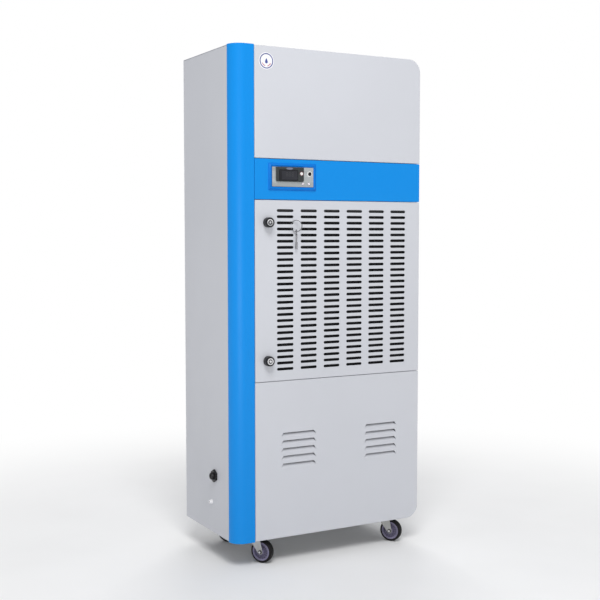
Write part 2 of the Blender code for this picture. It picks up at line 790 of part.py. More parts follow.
def make_keys(hinge):
    """A split ring that hangs round one web of the door, and the key on its lowest point."""
    swing = empty("key_ring_swing", (RING_X, SHEET / 2, RING_Z), hinge)
    outward = Vector((math.cos(RING_YAW), math.sin(RING_YAW), 0))
    centre = Vector((RING_X, SHEET / 2, RING_Z)) + outward * RING_OFFSET
    rings = []
    for step in range(24):
        angle = 2 * math.pi * step / 24
        radial = outward * math.cos(angle) + Vector((0, 0, math.sin(angle)))
        side = outward.cross(Vector((0, 0, 1)))
        wire = []
        for corner in range(6):
            turn = 2 * math.pi * corner / 6
            offset = radial * math.cos(turn) + side * math.sin(turn)
            wire.append(centre + radial * RING_RADIUS + offset * RING_WIRE)
        rings.append(wire)
    solid("key_ring", loft(rings, endless=True), CHROME, swing, smooth=True)

    lowest = centre - Vector((0, 0, RING_RADIUS))
    hang_point = empty("key_swing", lowest, swing)
    turn_to_ring = Matrix.Translation(lowest) @ Matrix.Rotation(RING_YAW, 4, "Z")
    eye_drop = 0.0012
    eye = turned(
        ((-0.001, 0.0023), (-0.001, 0.0075), (0.001, 0.0075), (0.001, 0.0023)),
        "x", (0.0, -eye_drop), 14, endless=True,
    )
    key = solid("door_key", moved(eye, turn_to_ring), CHROME, hang_point, smooth=True)
    shank = turned(
        ((-0.0065, 0.0014), (-0.020, 0.0016), (-0.021, 0.0034), (-KEY_LENGTH, 0.0034)),
        "z", (0.0, 0.0), 10,
    )
    add(key, moved(shank, turn_to_ring), "shank")


def make_hinge_parts(cabinet):
    """Two brackets that carry the door's pivot pins, and the seal between the door and the frame."""
    back = FRAME_FRONT - GAP
    for place, level, away in (("upper", BAND_LOW + 0.0003, 1), ("lower", DOOR_LOW - 0.0018, -1)):
        arm_levels = sorted((level, level + away * 0.002))
        radii = (0.0055, 0.0055, 0, 0)
        outline = box_outline(BRACKET_LEFT, 0.002, BRACKET_RIGHT, back, radii, steps=4)
        bracket = solid(place + "_hinge_bracket", prism(outline, "z", *arm_levels), ZINC, cabinet)
        leg_levels = sorted((level, level + away * 0.029))
        leg = box((0.665, back - 0.002, leg_levels[0]), (BRACKET_RIGHT, back, leg_levels[1]))
        add(bracket, leg, "leg")
        profile = ((level + away * 0.001, PIN_RADIUS), (level - away * 0.010, PIN_RADIUS))
        if place == "lower":
            profile = (
                (level - 0.001, 0.0045), (level + 0.0014, 0.0045),
                (level + 0.0014, PIN_RADIUS), (level + 0.010, PIN_RADIUS),
            )
        add(bracket, turned(profile, "z", (PIVOT_X, PIVOT_Y), 12), "pin")

    def edge(inset):
        return box_outline(0.084, DOOR_LOW + 0.0006, 0.676, DOOR_HIGH - 0.0011, inset=inset)

    rings = [
        along(edge(0.0), "y", DOOR_DEPTH + 0.0004),
        along(edge(0.0), "y", back),
        along(edge(SEAL_WIDTH), "y", back),
        along(edge(SEAL_WIDTH), "y", DOOR_DEPTH + 0.0004),
    ]
    solid("door_seal", loft(rings, endless=True), SEAL, cabinet)


# ---------------------------------------------------------------- services on the left side


def make_services(cabinet):
    hexagon = turned(((-GLAND_BASE, 0.0212), (-GAP, 0.0212)), "x", GLAND, 6)
    gland = solid("cable_gland", hexagon, BLACK, cabinet, smooth=True)
    dome = (
        (-GLAND_REACH, 0.0090), (-GLAND_REACH + 0.002, 0.0112),
        (-0.011, 0.0124), (-0.007, 0.0124),
    )
    add(gland, turned(dome, "x", GLAND), "dome")
    add(gland, turned(((-0.001, 0.0100), (0.014, 0.0100)), "x", GLAND), "thread")
    add(gland, turned(((SHEET + GAP, 0.0165), (0.0065, 0.0165)), "x", GLAND, 6), "nut")
    bore = ((-GLAND_REACH - 0.001, GLAND_BORE), (0.015, GLAND_BORE))
    cut(gland, turned(bore, "x", GLAND), "bore")

    profile = (
        (-SPOUT_REACH, SPOUT_BORE), (-SPOUT_REACH, SPOUT_RADIUS - 0.001), (-0.007, SPOUT_RADIUS),
        (-0.0018, SPOUT_RADIUS), (-0.0018, 0.0085), (-GAP, 0.0085), (-GAP, SPOUT_RADIUS),
        (0.012, SPOUT_RADIUS), (0.012, SPOUT_BORE),
    )
    solid("drain_spout", turned(profile, "x", SPOUT, 14, endless=True), WHITE, cabinet, True)


# ---------------------------------------------------------------- inside


def make_inside(cabinet):
    pan = tray(
        lambda inset: box_outline(INSIDE_LEFT, 0.025, 0.680, 0.385, inset=inset),
        "z", PAN_LOW, PAN_LOW + PAN_FOLD, PAN_SHEET,
    )
    solid("base_pan", pan, ZINC, cabinet)
    make_drip_tray(cabinet)

    deck_shape = tray(
        lambda inset: box_outline(INSIDE_LEFT, 0.044, INSIDE_RIGHT, 0.385, inset=inset),
        "z", DECK_TOP, DECK_TOP - 0.016,
    )
    deck = solid("fan_deck", deck_shape, ZINC, cabinet)
    left, front, right, back = DECK_OPENING
    opening = box((left, front, DECK_TOP - SHEET - PAST), (right, back, DECK_TOP + PAST))
    cut(deck, opening, "air_opening")

    make_coil("evaporator", EVAPORATOR, cabinet)
    make_coil("condenser", CONDENSER, cabinet)
    make_compressor(cabinet)
    make_pipes(cabinet)
    make_blower(cabinet)

    left, front, right, back = ELECTRICAL_BOX
    case = box((left, front, DECK_TOP + GAP), (right, back, ELECTRICAL_TOP))
    electrical = solid("electrical_box", case, ZINC, cabinet)
    lip = 0.002
    lid_low = (left - lip, front - lip, ELECTRICAL_TOP - 0.004)
    add(electrical, box(lid_low, (right + lip, back + lip, ELECTRICAL_TOP + lip)), "lid")


def make_drip_tray(cabinet):
    shape = tray(
        lambda inset: box_outline(INSIDE_LEFT, 0.044, INSIDE_RIGHT, 0.385, inset=inset),
        "z", TRAY_LOW, TRAY_HIGH,
    )
    drip = solid("drip_tray", shape, ZINC, cabinet)
    drain = (HOSE_X, SPOUT[0])
    nipple = ((NIPPLE_LOW, 0.007), (TRAY_LOW + 0.0005, 0.007))
    add(drip, turned(nipple, "z", drain, 14), "nipple")
    discharge = (COMPRESSOR[0], PIPES_BEHIND)
    holes = [
        turned(((NIPPLE_LOW - PAST, radius), (TRAY_LOW + SHEET + PAST, radius)), "z", centre)
        for centre, radius in ((drain, 0.0045), (discharge, 0.008), (SUCTION_HOLE, 0.011))
    ]
    cut(drip, several(holes), "drain_and_pipe_holes")


def make_coil(name, depth, cabinet):
    """A fin pack, hollow from behind so that it weighs what thin fins do, between two end plates."""
    fins = tray(
        lambda inset: box_outline(COIL_LEFT, COIL_LOW, COIL_RIGHT, COIL_HIGH, inset=inset),
        "y", *depth, COIL_WALL,
    )
    coil = solid(name, fins, FINS, cabinet)
    foot = TRAY_LOW + SHEET + GAP
    margin = 0.004
    plates = [
        box((x - 0.001, depth[0] - margin, foot), (x + 0.001, depth[1] + margin, COIL_HIGH + margin))
        for x in (COIL_LEFT - 0.0005, COIL_RIGHT + 0.0005)
    ]
    add(coil, several(plates), "end_plates")


def make_compressor(cabinet):
    """Hermetic shell on three rubber feet, with its suction accumulator strapped beside it."""
    floor = PAN_LOW + 0.002 + GAP
    shell_profile = (
        (floor + 0.014, 0.040), (floor + 0.022, COMPRESSOR_RADIUS),
        (COMPRESSOR_TOP - 0.025, COMPRESSOR_RADIUS), (COMPRESSOR_TOP - 0.008, 0.046),
        (COMPRESSOR_TOP, 0.018),
    )
    body = turned(shell_profile, "z", COMPRESSOR, 20)
    compressor = solid("compressor", body, DARK, cabinet, smooth=True)
    feet = []
    for index in range(3):
        angle = math.radians(90 + 120 * index)
        centre = (
            COMPRESSOR[0] + 0.085 * math.cos(angle), COMPRESSOR[1] + 0.085 * math.sin(angle)
        )
        feet.append(turned(((floor, 0.012), (floor + 0.012, 0.010)), "z", centre, 10))
    add(compressor, several(feet), "feet")
    plate = circle(*COMPRESSOR, 0.098, 3)
    plate = [(x, 2 * COMPRESSOR[1] - y) for x, y in plate]
    add(compressor, prism(plate, "z", floor + 0.010, floor + 0.016), "foot_plate")
    bottle = ((0.180, 0.012), (0.190, 0.026), (0.320, 0.026), (0.332, 0.010))
    bottle += ((ACCUMULATOR_TOP, 0.009),)
    add(compressor, turned(bottle, "z", ACCUMULATOR, 14), "accumulator")
    bridge = turned(
        ((ACCUMULATOR[0], 0.009), (COMPRESSOR[0] - 0.050, 0.009)), "x", (COMPRESSOR[1], 0.205), 10
    )
    add(compressor, bridge, "suction_elbow")


def make_pipes(cabinet):
    plate_face = COIL_RIGHT + 0.0015 + GAP
    discharge = (
        (COMPRESSOR[0], COMPRESSOR[1], COMPRESSOR_TOP + GAP),
        (COMPRESSOR[0], COMPRESSOR[1], DISCHARGE_LEVEL),
        (COMPRESSOR[0], PIPES_BEHIND, DISCHARGE_LEVEL),
        (COMPRESSOR[0], PIPES_BEHIND, 1.080),
        (0.668, PIPES_BEHIND, 1.080),
        (0.668, 0.205, 1.080),
        (plate_face, 0.205, 1.080),
    )
    pipe("discharge_pipe", discharge, DISCHARGE_RADIUS, DISCHARGE_BEND, COPPER, cabinet)
    suction = (
        (plate_face, SUCTION_HOLE[1], 0.690),
        (*SUCTION_HOLE, 0.690),
        (*SUCTION_HOLE, SUCTION_LEVEL),
        (ACCUMULATOR[0], SUCTION_HOLE[1], SUCTION_LEVEL),
        (*ACCUMULATOR, SUCTION_LEVEL),
        (*ACCUMULATOR, ACCUMULATOR_TOP + GAP),
    )
    pipe("suction_pipe", suction, SUCTION_RADIUS, SUCTION_BEND, COPPER, cabinet)
    liquid = (
        (plate_face, 0.225, 0.680),
        (0.680, 0.225, 0.680),
        (0.680, 0.225, 1.120),
        (0.680, 0.090, 1.120),
        (plate_face, 0.090, 1.120),
    )
    pipe("liquid_line", liquid, LIQUID_RADIUS, LIQUID_BEND, COPPER, cabinet)
    hose = (
        (0.0125, *SPOUT),
        (HOSE_X, *SPOUT),
        (HOSE_X, SPOUT[0], NIPPLE_LOW - GAP),
    )
    pipe("drain_hose", hose, SPOUT_RADIUS, HOSE_BEND, SEAL, cabinet)


def scroll_outline(inset, top):
    """The blower's spiral wall from its tongue, round the front and bottom, and up the back."""
    points = []
    steps = 20
    for step in range(steps + 1):
        share = step / steps
        angle = SCROLL_FROM + (SCROLL_TO - SCROLL_FROM) * share
        reach = SCROLL_START + SCROLL_GROWTH * share - inset
        points.append((BLOWER_Y - reach * math.sin(angle), BLOWER_Z + reach * math.cos(angle)))
    back = points[-1][0]
    tongue = points[0][0] + 0.5 * inset
    return points + [(back, top), (tongue, top)]


def make_blower(cabinet):
    left, right = BLOWER_X
    wall = 0.002
    shape = prism(scroll_outline(0.0, THROAT_TOP), "x", left, right)
    housing = solid("blower_housing", shape, ZINC, cabinet, smooth=True)
    hollow = prism(scroll_outline(wall, THROAT_TOP + 0.002), "x", left + wall, right - wall)
    cut(housing, hollow, "hollow")
    centre = (BLOWER_Y, BLOWER_Z)
    inlet = turned(((left - 0.001, INLET_RADIUS), (left + 0.004, INLET_RADIUS)), "x", centre, 24)
    shaft_hole = turned(((right - 0.004, 0.012), (right + 0.001, 0.012)), "x", centre)
    cut(housing, several((inlet, shaft_hole)), "inlet_and_shaft_hole")
    foot = box((left, 0.120, DECK_TOP + GAP), (right, 0.250, DECK_TOP + 0.0112))
    add(housing, foot, "foot")

    make_impeller(cabinet, left + 0.014, right - 0.018, centre)

    motor_left = right + GAP
    profile = (
        (right - 0.050, 0.006), (motor_left, 0.006), (motor_left, 0.030),
        (motor_left + 0.008, 0.058), (motor_left + 0.100, 0.058), (motor_left + 0.112, 0.040),
    )
    solid("blower_motor", turned(profile, "x", centre, 20), DARK, cabinet, smooth=True)


def make_impeller(cabinet, left, right, centre):
    spin = empty("impeller_spin", (left, *centre), cabinet)
    plate = (
        (right, 0.0064), (right, IMPELLER_RADIUS), (right - 0.002, IMPELLER_RADIUS),
        (right - 0.002, 0.016), (right - 0.026, 0.016), (right - 0.026, 0.0064),
    )
    impeller = solid(
        "impeller", turned(plate, "x", centre, 24, endless=True), ZINC, spin, smooth=True
    )
    blades = []
    for index in range(BLADES):
        turn = 2 * math.pi * index / BLADES
        outline = []
        stations = ((0.089, 0.00), (0.097, 0.05), (0.1035, 0.14))
        for reach, lead in stations:
            outline.append((reach, turn + lead))
        for reach, lead in stations[::-1]:
            outline.append((reach, turn + lead + 0.018))
        flat = [
            (centre[0] + reach * math.cos(angle), centre[1] + reach * math.sin(angle))
            for reach, angle in outline
        ]
        blades.append(prism(flat, "x", left + 0.001, right - 0.001))
    add(impeller, several(blades), "blades")
    rim = (
        (left, 0.088), (left, IMPELLER_RADIUS), (left + 0.003, IMPELLER_RADIUS),
        (left + 0.003, 0.088),
    )
    add(impeller, turned(rim, "x", centre, 24, endless=True), "front_ring")


# ---------------------------------------------------------------- castors


def make_castors(cabinet):
    for row, y in zip(("front", "rear"), CASTOR_Y):
        for side, x in zip(("left", "right"), CASTOR_X):
            make_castor(row + "_" + side, x, y, cabinet)


def make_castor(place, x, y, cabinet):
    half = PLATE_SIDE / 2
    plate = box((x - half, y - half, PLATE_LOW), (x + half, y + half, PLATE_TOP))
    base = solid(place + "_castor_plate", plate, ZINC, cabinet, smooth=True)
    race = turned(((FORK_TOP + 0.0004, 0.024), (PLATE_LOW + 0.0005, 0.024)), "z", (x, y))
    add(base, race, "race")

    swivel = empty(place + "_castor_swivel", (x, y, FORK_TOP), cabinet)
    to_place = Matrix.Translation((x, y, 0)) @ Matrix.Rotation(CASTOR_YAW, 4, "Z")
    bridge = box((FORK_REAR, -LEG_OUTER, 0.0835), (FORK_REACH, LEG_OUTER, 0.0880))
    fork = solid(place + "_castor_fork", moved(bridge, to_place), ZINC, swivel, smooth=True)
    crown = turned(((0.0875, 0.022), (FORK_TOP, 0.022)), "z", (0, 0))
    add(fork, moved(crown, to_place), "crown")
    boss = 0.008
    leg = [(FORK_REACH, 0.0860), (FORK_REAR, 0.0860)]
    for degrees in (215, 242, 270, 300, 330, 360):
        angle = math.radians(degrees)
        leg.append(
            (CASTOR_TRAIL + boss * math.cos(angle), WHEEL_RADIUS + boss * math.sin(angle))
        )
    sides = ((-LEG_OUTER, -LEG_INNER), (LEG_INNER, LEG_OUTER))
    legs = several([prism(leg, "y", *side) for side in sides])
    add(fork, moved(legs, to_place), "legs")
    axle_centre = (CASTOR_TRAIL, WHEEL_RADIUS)
    hole = turned(((-0.02, AXLE_RADIUS + GAP), (0.02, AXLE_RADIUS + GAP)), "y", axle_centre, 12)
    cut(fork, moved(hole, to_place), "axle_holes")

    head = LEG_OUTER + GAP
    bolt = (
        (-head - 0.0035, 0.0058), (-head, 0.0062), (-head, AXLE_RADIUS),
        (head, AXLE_RADIUS), (head, 0.0062), (head + 0.0035, 0.0058),
    )
    axle = turned(bolt, "y", axle_centre, 12)
    solid(place + "_castor_axle", moved(axle, to_place), CHROME, swivel, smooth=True)

    hub = to_place @ Vector((CASTOR_TRAIL, 0, WHEEL_RADIUS))
    spin = empty(place + "_wheel_spin", hub, swivel)
    bore = AXLE_RADIUS + 0.0005
    half = (
        (WHEEL_HALF, bore), (WHEEL_HALF, 0.0110), (0.009, 0.0120), (0.0115, 0.0300),
        (0.0085, WHEEL_RADIUS),
    )
    profile = [(-level, radius) for level, radius in half] + list(half[::-1])
    wheel = turned(profile, "y", axle_centre, WHEEL_STEPS, endless=True, flat=True)
    solid(place + "_wheel", moved(wheel, to_place), TYRE, spin, smooth=True)


# ---------------------------------------------------------------- the whole object

for leftover in list(bpy.data.objects):
    bpy.data.objects.remove(leftover)

GREY = paint("grey_paint", (0.62, 0.64, 0.67), 0.45)
BLUE = paint("blue_paint", (0.01, 0.27, 0.80), 0.35)
ZINC = paint("zinc_plated_steel", (0.55, 0.56, 0.57), 0.40, 0.9)
BRUSHED = paint("brushed_plate", (0.60, 0.60, 0.56), 0.35, 0.8)
BLACK = paint("black_plastic", (0.02, 0.02, 0.022), 0.45)
WHITE = paint("white_plastic", (0.82, 0.82, 0.80), 0.40)
LENS = paint("display_lens", (0.02, 0.02, 0.03), 0.12)
LAMP = paint("lamp_lens", (0.70, 0.68, 0.62), 0.20)
CHROME = paint("bright_metal", (0.72, 0.72, 0.72), 0.18, 1.0)
DARK = paint("black_enamel", (0.03, 0.03, 0.035), 0.40)
COPPER = paint("copper_tube", (0.72, 0.33, 0.18), 0.30, 1.0)
FINS = paint("aluminium_fins", (0.70, 0.71, 0.72), 0.35, 0.9)
FILTER = paint("filter_mesh", (0.10, 0.10, 0.11), 0.80)
SEAL = paint("black_rubber", (0.03, 0.03, 0.03), 0.85)
TYRE = paint("castor_rubber", (0.03, 0.03, 0.035), 0.60)

whole = empty("cabinet", (0, 0, 0))
make_casing(whole)
make_outlet_grille(whole)
make_front_frame(whole)
make_lower_panel(whole)
make_control_unit(whole)
make_door(whole)
make_hinge_parts(whole)
make_services(whole)
make_inside(whole)
make_castors(whole)
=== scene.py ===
"""Looks of the cabinet dehumidifier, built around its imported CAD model.

Lengths are in metres, in the cabinet's own frame: x runs right from the left face, y runs back from
the front face and z runs up from the floor. ORIGIN, read from the CAD model, is that frame's corner
in the world. Every shape is made in the cabinet's frame and rides on the CAD body that it belongs to.
"""

import json
import math

import bmesh
import bpy
from mathutils import Matrix, Vector


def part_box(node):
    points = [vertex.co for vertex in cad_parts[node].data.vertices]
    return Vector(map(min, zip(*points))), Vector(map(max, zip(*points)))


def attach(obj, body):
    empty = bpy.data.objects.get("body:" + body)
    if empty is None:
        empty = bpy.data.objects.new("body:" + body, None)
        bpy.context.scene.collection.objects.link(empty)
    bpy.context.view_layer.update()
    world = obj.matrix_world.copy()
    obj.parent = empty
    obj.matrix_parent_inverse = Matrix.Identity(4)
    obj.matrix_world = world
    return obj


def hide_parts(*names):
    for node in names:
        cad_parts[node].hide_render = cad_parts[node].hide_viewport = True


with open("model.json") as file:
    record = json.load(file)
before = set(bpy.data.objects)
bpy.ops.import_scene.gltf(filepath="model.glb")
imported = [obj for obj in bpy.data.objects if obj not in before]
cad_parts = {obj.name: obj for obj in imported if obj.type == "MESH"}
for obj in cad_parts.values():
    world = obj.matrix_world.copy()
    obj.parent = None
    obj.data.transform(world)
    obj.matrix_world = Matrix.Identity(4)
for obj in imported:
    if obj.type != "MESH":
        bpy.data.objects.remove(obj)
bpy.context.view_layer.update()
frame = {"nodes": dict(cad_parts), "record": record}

ORIGIN = Vector((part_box("left_side_panel")[0].x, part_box("upper_front_panel")[0].y, 0.0))


def cad(node):
    """A CAD node's lowest and highest corner in the cabinet's frame."""
    low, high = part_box(node)
    return low - ORIGIN, high - ORIGIN


# ---- sizes

SHEET = 0.0015
BEND = 0.0022
BEND_STEPS = 4
ROUND = 32  # sides of a turned shape
MERGE = 2e-6  # corners closer than this become one
BEYOND = 0.001  # how far a cutter reaches past the face that it cuts
POINT = 0.00005  # the radius that closes a dome or a dished cap
SHARP_ANGLE = math.radians(40)
CORNER_RADIUS = 0.044

SLOT_COLUMNS = 6
SLOT_ROWS = 27
SLOT_LENGTH = 0.060
SLOT_HEIGHT = 0.0090
SLOT_COLUMN_PITCH = 0.086
SLOT_ROW_PITCH = 0.01943
FIRST_SLOT_X = 0.1819
TOP_SLOT_Z = 1.1369
SLOT_ROLL = 0.0002

LOCKS = ("upper_lock", "lower_lock")
CAM_FRONT = 0.0245

BAND_OPENING = (0.137, 1.216, 0.278, 1.270)
DIGIT_WIDTH = 0.0066
DIGIT_HEIGHT = 0.0130
DIGIT_PITCH = 0.0105
LAMP_RADIUS = 0.0036
STICKER_CENTRE = (0.116, 1.601)

LOUVRE_CENTRES = (0.231, 0.546)
LOUVRE_ROWS = 5
LOUVRE_PITCH = 0.025
LOUVRE_TOP = 0.4245
LOUVRE_HEIGHT = 0.0135
LOUVRE_BOTTOM_HALF = 0.065
LOUVRE_TOP_HALF = 0.0565
LOUVRE_ANGLE = math.radians(40)

CASTOR_X = (0.100, 0.600)
CASTOR_Y = (0.063, 0.327)
CASTOR_YAW = math.radians(-54.6)
CASTOR_TRAIL = 0.030
CASTOR_BOLT = 0.0225
FORK_HALF = 0.0173
FORK_INSIDE = 0.0148
WHEEL_RADIUS = 0.0375

RING_YAW = math.radians(-40)
RING_X = 0.207
RING_OFFSET = 0.01425
RING_RADIUS = 0.018
RING_WIRE = 0.00112

FLUTE = 0.0008
OUTLET_FLANGE = 0.010
FIN_BASE = 0.632
SMOOTH_ANGLE = math.radians(35)
PIPES = ("suction_pipe", "discharge_pipe", "liquid_line", "drain_hose")

AMBIENT = 0.43
CAMERA_PLACE = (-1.3886, -2.9518, 1.0697)
CAMERA_TILT = math.radians(90 - 3.77)
CAMERA_TURN = math.radians(-28.93)

# ---- outlines


def outline_box(node, axes="xz"):
    """A CAD node's (low_a, low_b, high_a, high_b) along two axes."""
    return tuple(getattr(corner, axis) for corner in cad(node) for axis in axes)


def centre_of(node, axes="xz"):
    """The centre of that box."""
    low_a, low_b, high_a, high_b = outline_box(node, axes)
    return (low_a + high_a) / 2, (low_b + high_b) / 2


def rectangle(box, radii=0.0, inset=0.0, steps=6):
    """A rectangle (low_a, low_b, high_a, high_b) with rounded corners, drawn in by inset."""
    low_a, low_b, high_a, high_b = box
    corners = (
        (low_a, low_b, 1, 1, 180), (high_a, low_b, -1, 1, 270),
        (high_a, high_b, -1, -1, 0), (low_a, high_b, 1, -1, 90),
    )
    if not isinstance(radii, tuple):
        radii = (radii,) * 4
    points = []
    for (a, b, side_a, side_b, start), radius in zip(corners, radii):
        middle = max(radius, inset)
        reach = middle - inset
        for step in range(steps + 1):
            angle = math.radians(start + 90 * step / steps)
            points.append((
                a + side_a * middle + reach * math.cos(angle),
                b + side_b * middle + reach * math.sin(angle),
            ))
    return points


def circle(centre, radius, steps=ROUND):
    angles = [2 * math.pi * i / steps - math.pi / 2 for i in range(steps)]
    return [(centre[0] + radius * math.cos(t), centre[1] + radius * math.sin(t)) for t in angles]


def along(outline, axis, level):
    """A flat outline as points in space, at one level along the axis that it faces."""
    if axis == "x":
        return [(level, a, b) for a, b in outline]
    if axis == "y":
        return [(a, level, b) for a, b in outline]
    return [(a, b, level) for a, b in outline]


def softened(profile, radius, closed=False, steps=3):
    """A line of points with its corners rounded, each by no more than half of its shorter side."""
    points = [Vector(point) for point in profile]
    count = len(points)
    soft = []
    for i, corner in enumerate(points):
        if not closed and i in (0, count - 1):
            soft.append(corner)
            continue
        back = points[i - 1] - corner
        ahead = points[(i + 1) % count] - corner
        reach = min(radius, back.length * 0.49, ahead.length * 0.49)
        start = corner + back.normalized() * reach
        end = corner + ahead.normalized() * reach
        for step in range(steps + 1):
            share = step / steps
            soft.append(start.lerp(corner, share).lerp(corner.lerp(end, share), share))
    return [tuple(point) for point in soft]


# ---- shapes


def loft(rings, endless=False):
    """Walls between rings of equal length, with a cap at both ends unless the last meets the first."""
    shape = bmesh.new()
    rows = [[shape.verts.new(point) for point in ring] for ring in rings]
    pairs = list(zip(rows, rows[1:]))
    if endless:
        pairs.append((rows[-1], rows[0]))
    else:
        shape.faces.new(rows[0])
        shape.faces.new(rows[-1])
    for first, second in pairs:
        for i, corner in enumerate(first):
            j = (i + 1) % len(first)
            shape.faces.new((corner, first[j], second[j], second[i]))
    bmesh.ops.remove_doubles(shape, verts=shape.verts, dist=MERGE)
    bmesh.ops.dissolve_degenerate(shape, edges=shape.edges, dist=MERGE)
    bmesh.ops.recalc_face_normals(shape, faces=shape.faces)
    return shape


def prism(outline, axis, low, high):
    return loft([along(outline, axis, low), along(outline, axis, high)])


def slab(shape_at, axis, low, high, edge=0.0005, steps=2):
    """A plate with rounded edges: shape_at(inset) is its outline, from low to high along the axis."""
    rings = []
    for level, inward in ((low, 1), (high, -1)):
        turns = [math.radians(90 * step / steps) for step in range(steps + 1)]
        side = [
            along(shape_at(edge * (1 - math.sin(t))), axis, level + inward * edge * (1 - math.cos(t)))
            for t in turns
        ]
        rings += side if inward > 0 else side[::-1]
    return loft(rings)


def plate(box, radii, axis, low, high, edge=0.0005, corner_steps=3, edge_steps=2):
    """A flat plate with rounded corners and edges."""
    def shape_at(inset):
        return rectangle(box, radii, inset, corner_steps)

    return slab(shape_at, axis, low, high, edge, edge_steps)


def block(low, high, edge=0.0005):
    return plate((*low[:2], *high[:2]), edge, "z", low[2], high[2], edge, 2)


def moulding(box, radius, axis, section, corner_steps=3, endless=True):
    """A strip round a rectangle, from the (inset, level) pairs of its section."""
    rings = [
        along(rectangle(box, radius, inset, corner_steps), axis, level) for inset, level in section
    ]
    return loft(rings, endless)


def turned(profile, axis, centre, steps=ROUND, endless=False, soft=0.0):
    """A turned solid from (level, radius) pairs, its corners rounded where soft says how much."""
    if soft:
        profile = softened(profile, soft, closed=endless)
    rings = [along(circle(centre, radius, steps), axis, level) for level, radius in profile]
    return loft(rings, endless)


def raised(level, profile):
    """A turned profile moved to start from a level."""
    return [(level + offset, radius) for offset, radius in profile]


def rod(axis, centre, radius, low, high, steps=ROUND):
    return turned(((low, radius), (high, radius)), axis, centre, steps)


def sleeve(axis, centre, inner, outer, low, high, steps=ROUND, soft=0.0):
    """A turned ring of rectangular section."""
    return turned(((low, inner), (low, outer), (high, outer), (high, inner)), axis, centre, steps, True, soft)


def folded(box, radii, axis, face, rim, corner_steps=3):
    """A folded sheet over a rectangle, with a bend that leads from its face to its rim."""
    way = math.copysign(1, rim - face)
    depth = abs(rim - face)
    inner = BEND - SHEET
    edge = 0.0004

    def ring(inset, drop):
        return along(rectangle(box, radii, inset, corner_steps), axis, face + way * drop)

    turns = [math.radians(90 * step / BEND_STEPS) for step in range(BEND_STEPS + 1)]
    outside = [ring(BEND * (1 - math.sin(t)), BEND * (1 - math.cos(t))) for t in turns]
    inside = [ring(SHEET + inner * (1 - math.sin(t)), SHEET + inner * (1 - math.cos(t))) for t in turns]
    lip = ((0.0, depth - edge), (edge, depth), (SHEET - edge, depth), (SHEET, depth - edge))
    return loft(outside + [ring(inset, drop) for inset, drop in lip] + inside[::-1])


def tube(route, radius, sides=12):
    """A round wire or pipe along a route, without twist."""
    points = [Vector(point) for point in route]
    rings = []
    across = (points[1] - points[0]).orthogonal().normalized()
    for before, point, after in zip(points[:1] + points, points, points[1:] + points[-1:]):
        ahead = (after - before).normalized()
        across = (across - ahead * across.dot(ahead)).normalized()
        over = ahead.cross(across)
        rings.append([
            point + radius * (across * math.cos(t) + over * math.sin(t))
            for t in (2 * math.pi * side / sides for side in range(sides))
        ])
    return loft(rings)


def rounded_route(corners, radius, steps=6):
    """Straight runs whose corners are arcs of one radius."""
    corners = [Vector(corner) for corner in corners]
    route = [corners[0]]
    for before, corner, after in zip(corners, corners[1:], corners[2:]):
        back = (before - corner).normalized()
        ahead = (after - corner).normalized()
        half = back.angle(ahead) / 2
        centre = corner + (back + ahead).normalized() * radius / math.sin(half)
        start = corner + back * radius / math.tan(half) - centre
        for step in range(steps + 1):
            angle = (math.pi - 2 * half) * step / steps
            route.append(centre + start * math.cos(angle) - back * radius * math.sin(angle))
    return route + [corners[-1]]


def together(shapes):
    """Several shapes as one mesh."""
    whole = bmesh.new()
    for shape in shapes:
        mesh = as_mesh("together", shape)
        whole.from_mesh(mesh)
        bpy.data.meshes.remove(mesh)
    return whole


def moved(shape, matrix):
    bmesh.ops.transform(shape, matrix=matrix, verts=shape.verts)
    return shape


def minus(shape, cutter):
    """The shape with the cutter's space taken out of it."""
    helpers = [add_object("helper", as_mesh("helper", source)) for source in (shape, cutter)]
    modifier = helpers[0].modifiers.new("cut", "BOOLEAN")
    modifier.object = helpers[1]
    graph = bpy.context.evaluated_depsgraph_get()
    result = bmesh.new()
    result.from_mesh(helpers[0].evaluated_get(graph).to_mesh())
    for helper in helpers:
        bpy.data.meshes.remove(helper.data)
    return result


def add_object(name, data):
    obj = bpy.data.objects.new(name, data)
    bpy.context.scene.collection.objects.link(obj)
    return obj


def as_mesh(name, shape):
    """A new mesh with the shape's faces; the shape is used up."""
    mesh = bpy.data.meshes.new(name)
    shape.to_mesh(mesh)
    shape.free()
    return mesh


def piece(name, shape, material, replaced=None, body="cabinet"):
    """A shown piece from a shape in the cabinet's frame; it may replace a CAD node and rides on a body."""
    bmesh.ops.translate(shape, vec=ORIGIN, verts=shape.verts)
    mesh = as_mesh(name, shape)
    mesh.materials.append(material)
    mesh.shade_smooth()
    mesh.set_sharp_from_angle(angle=SHARP_ANGLE)
    obj = add_object(name, mesh)
    normals = obj.modifiers.new("normals", "WEIGHTED_NORMAL")
    normals.keep_sharp = True
    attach(obj, body)
    if replaced:
        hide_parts(replaced)


# ---- materials


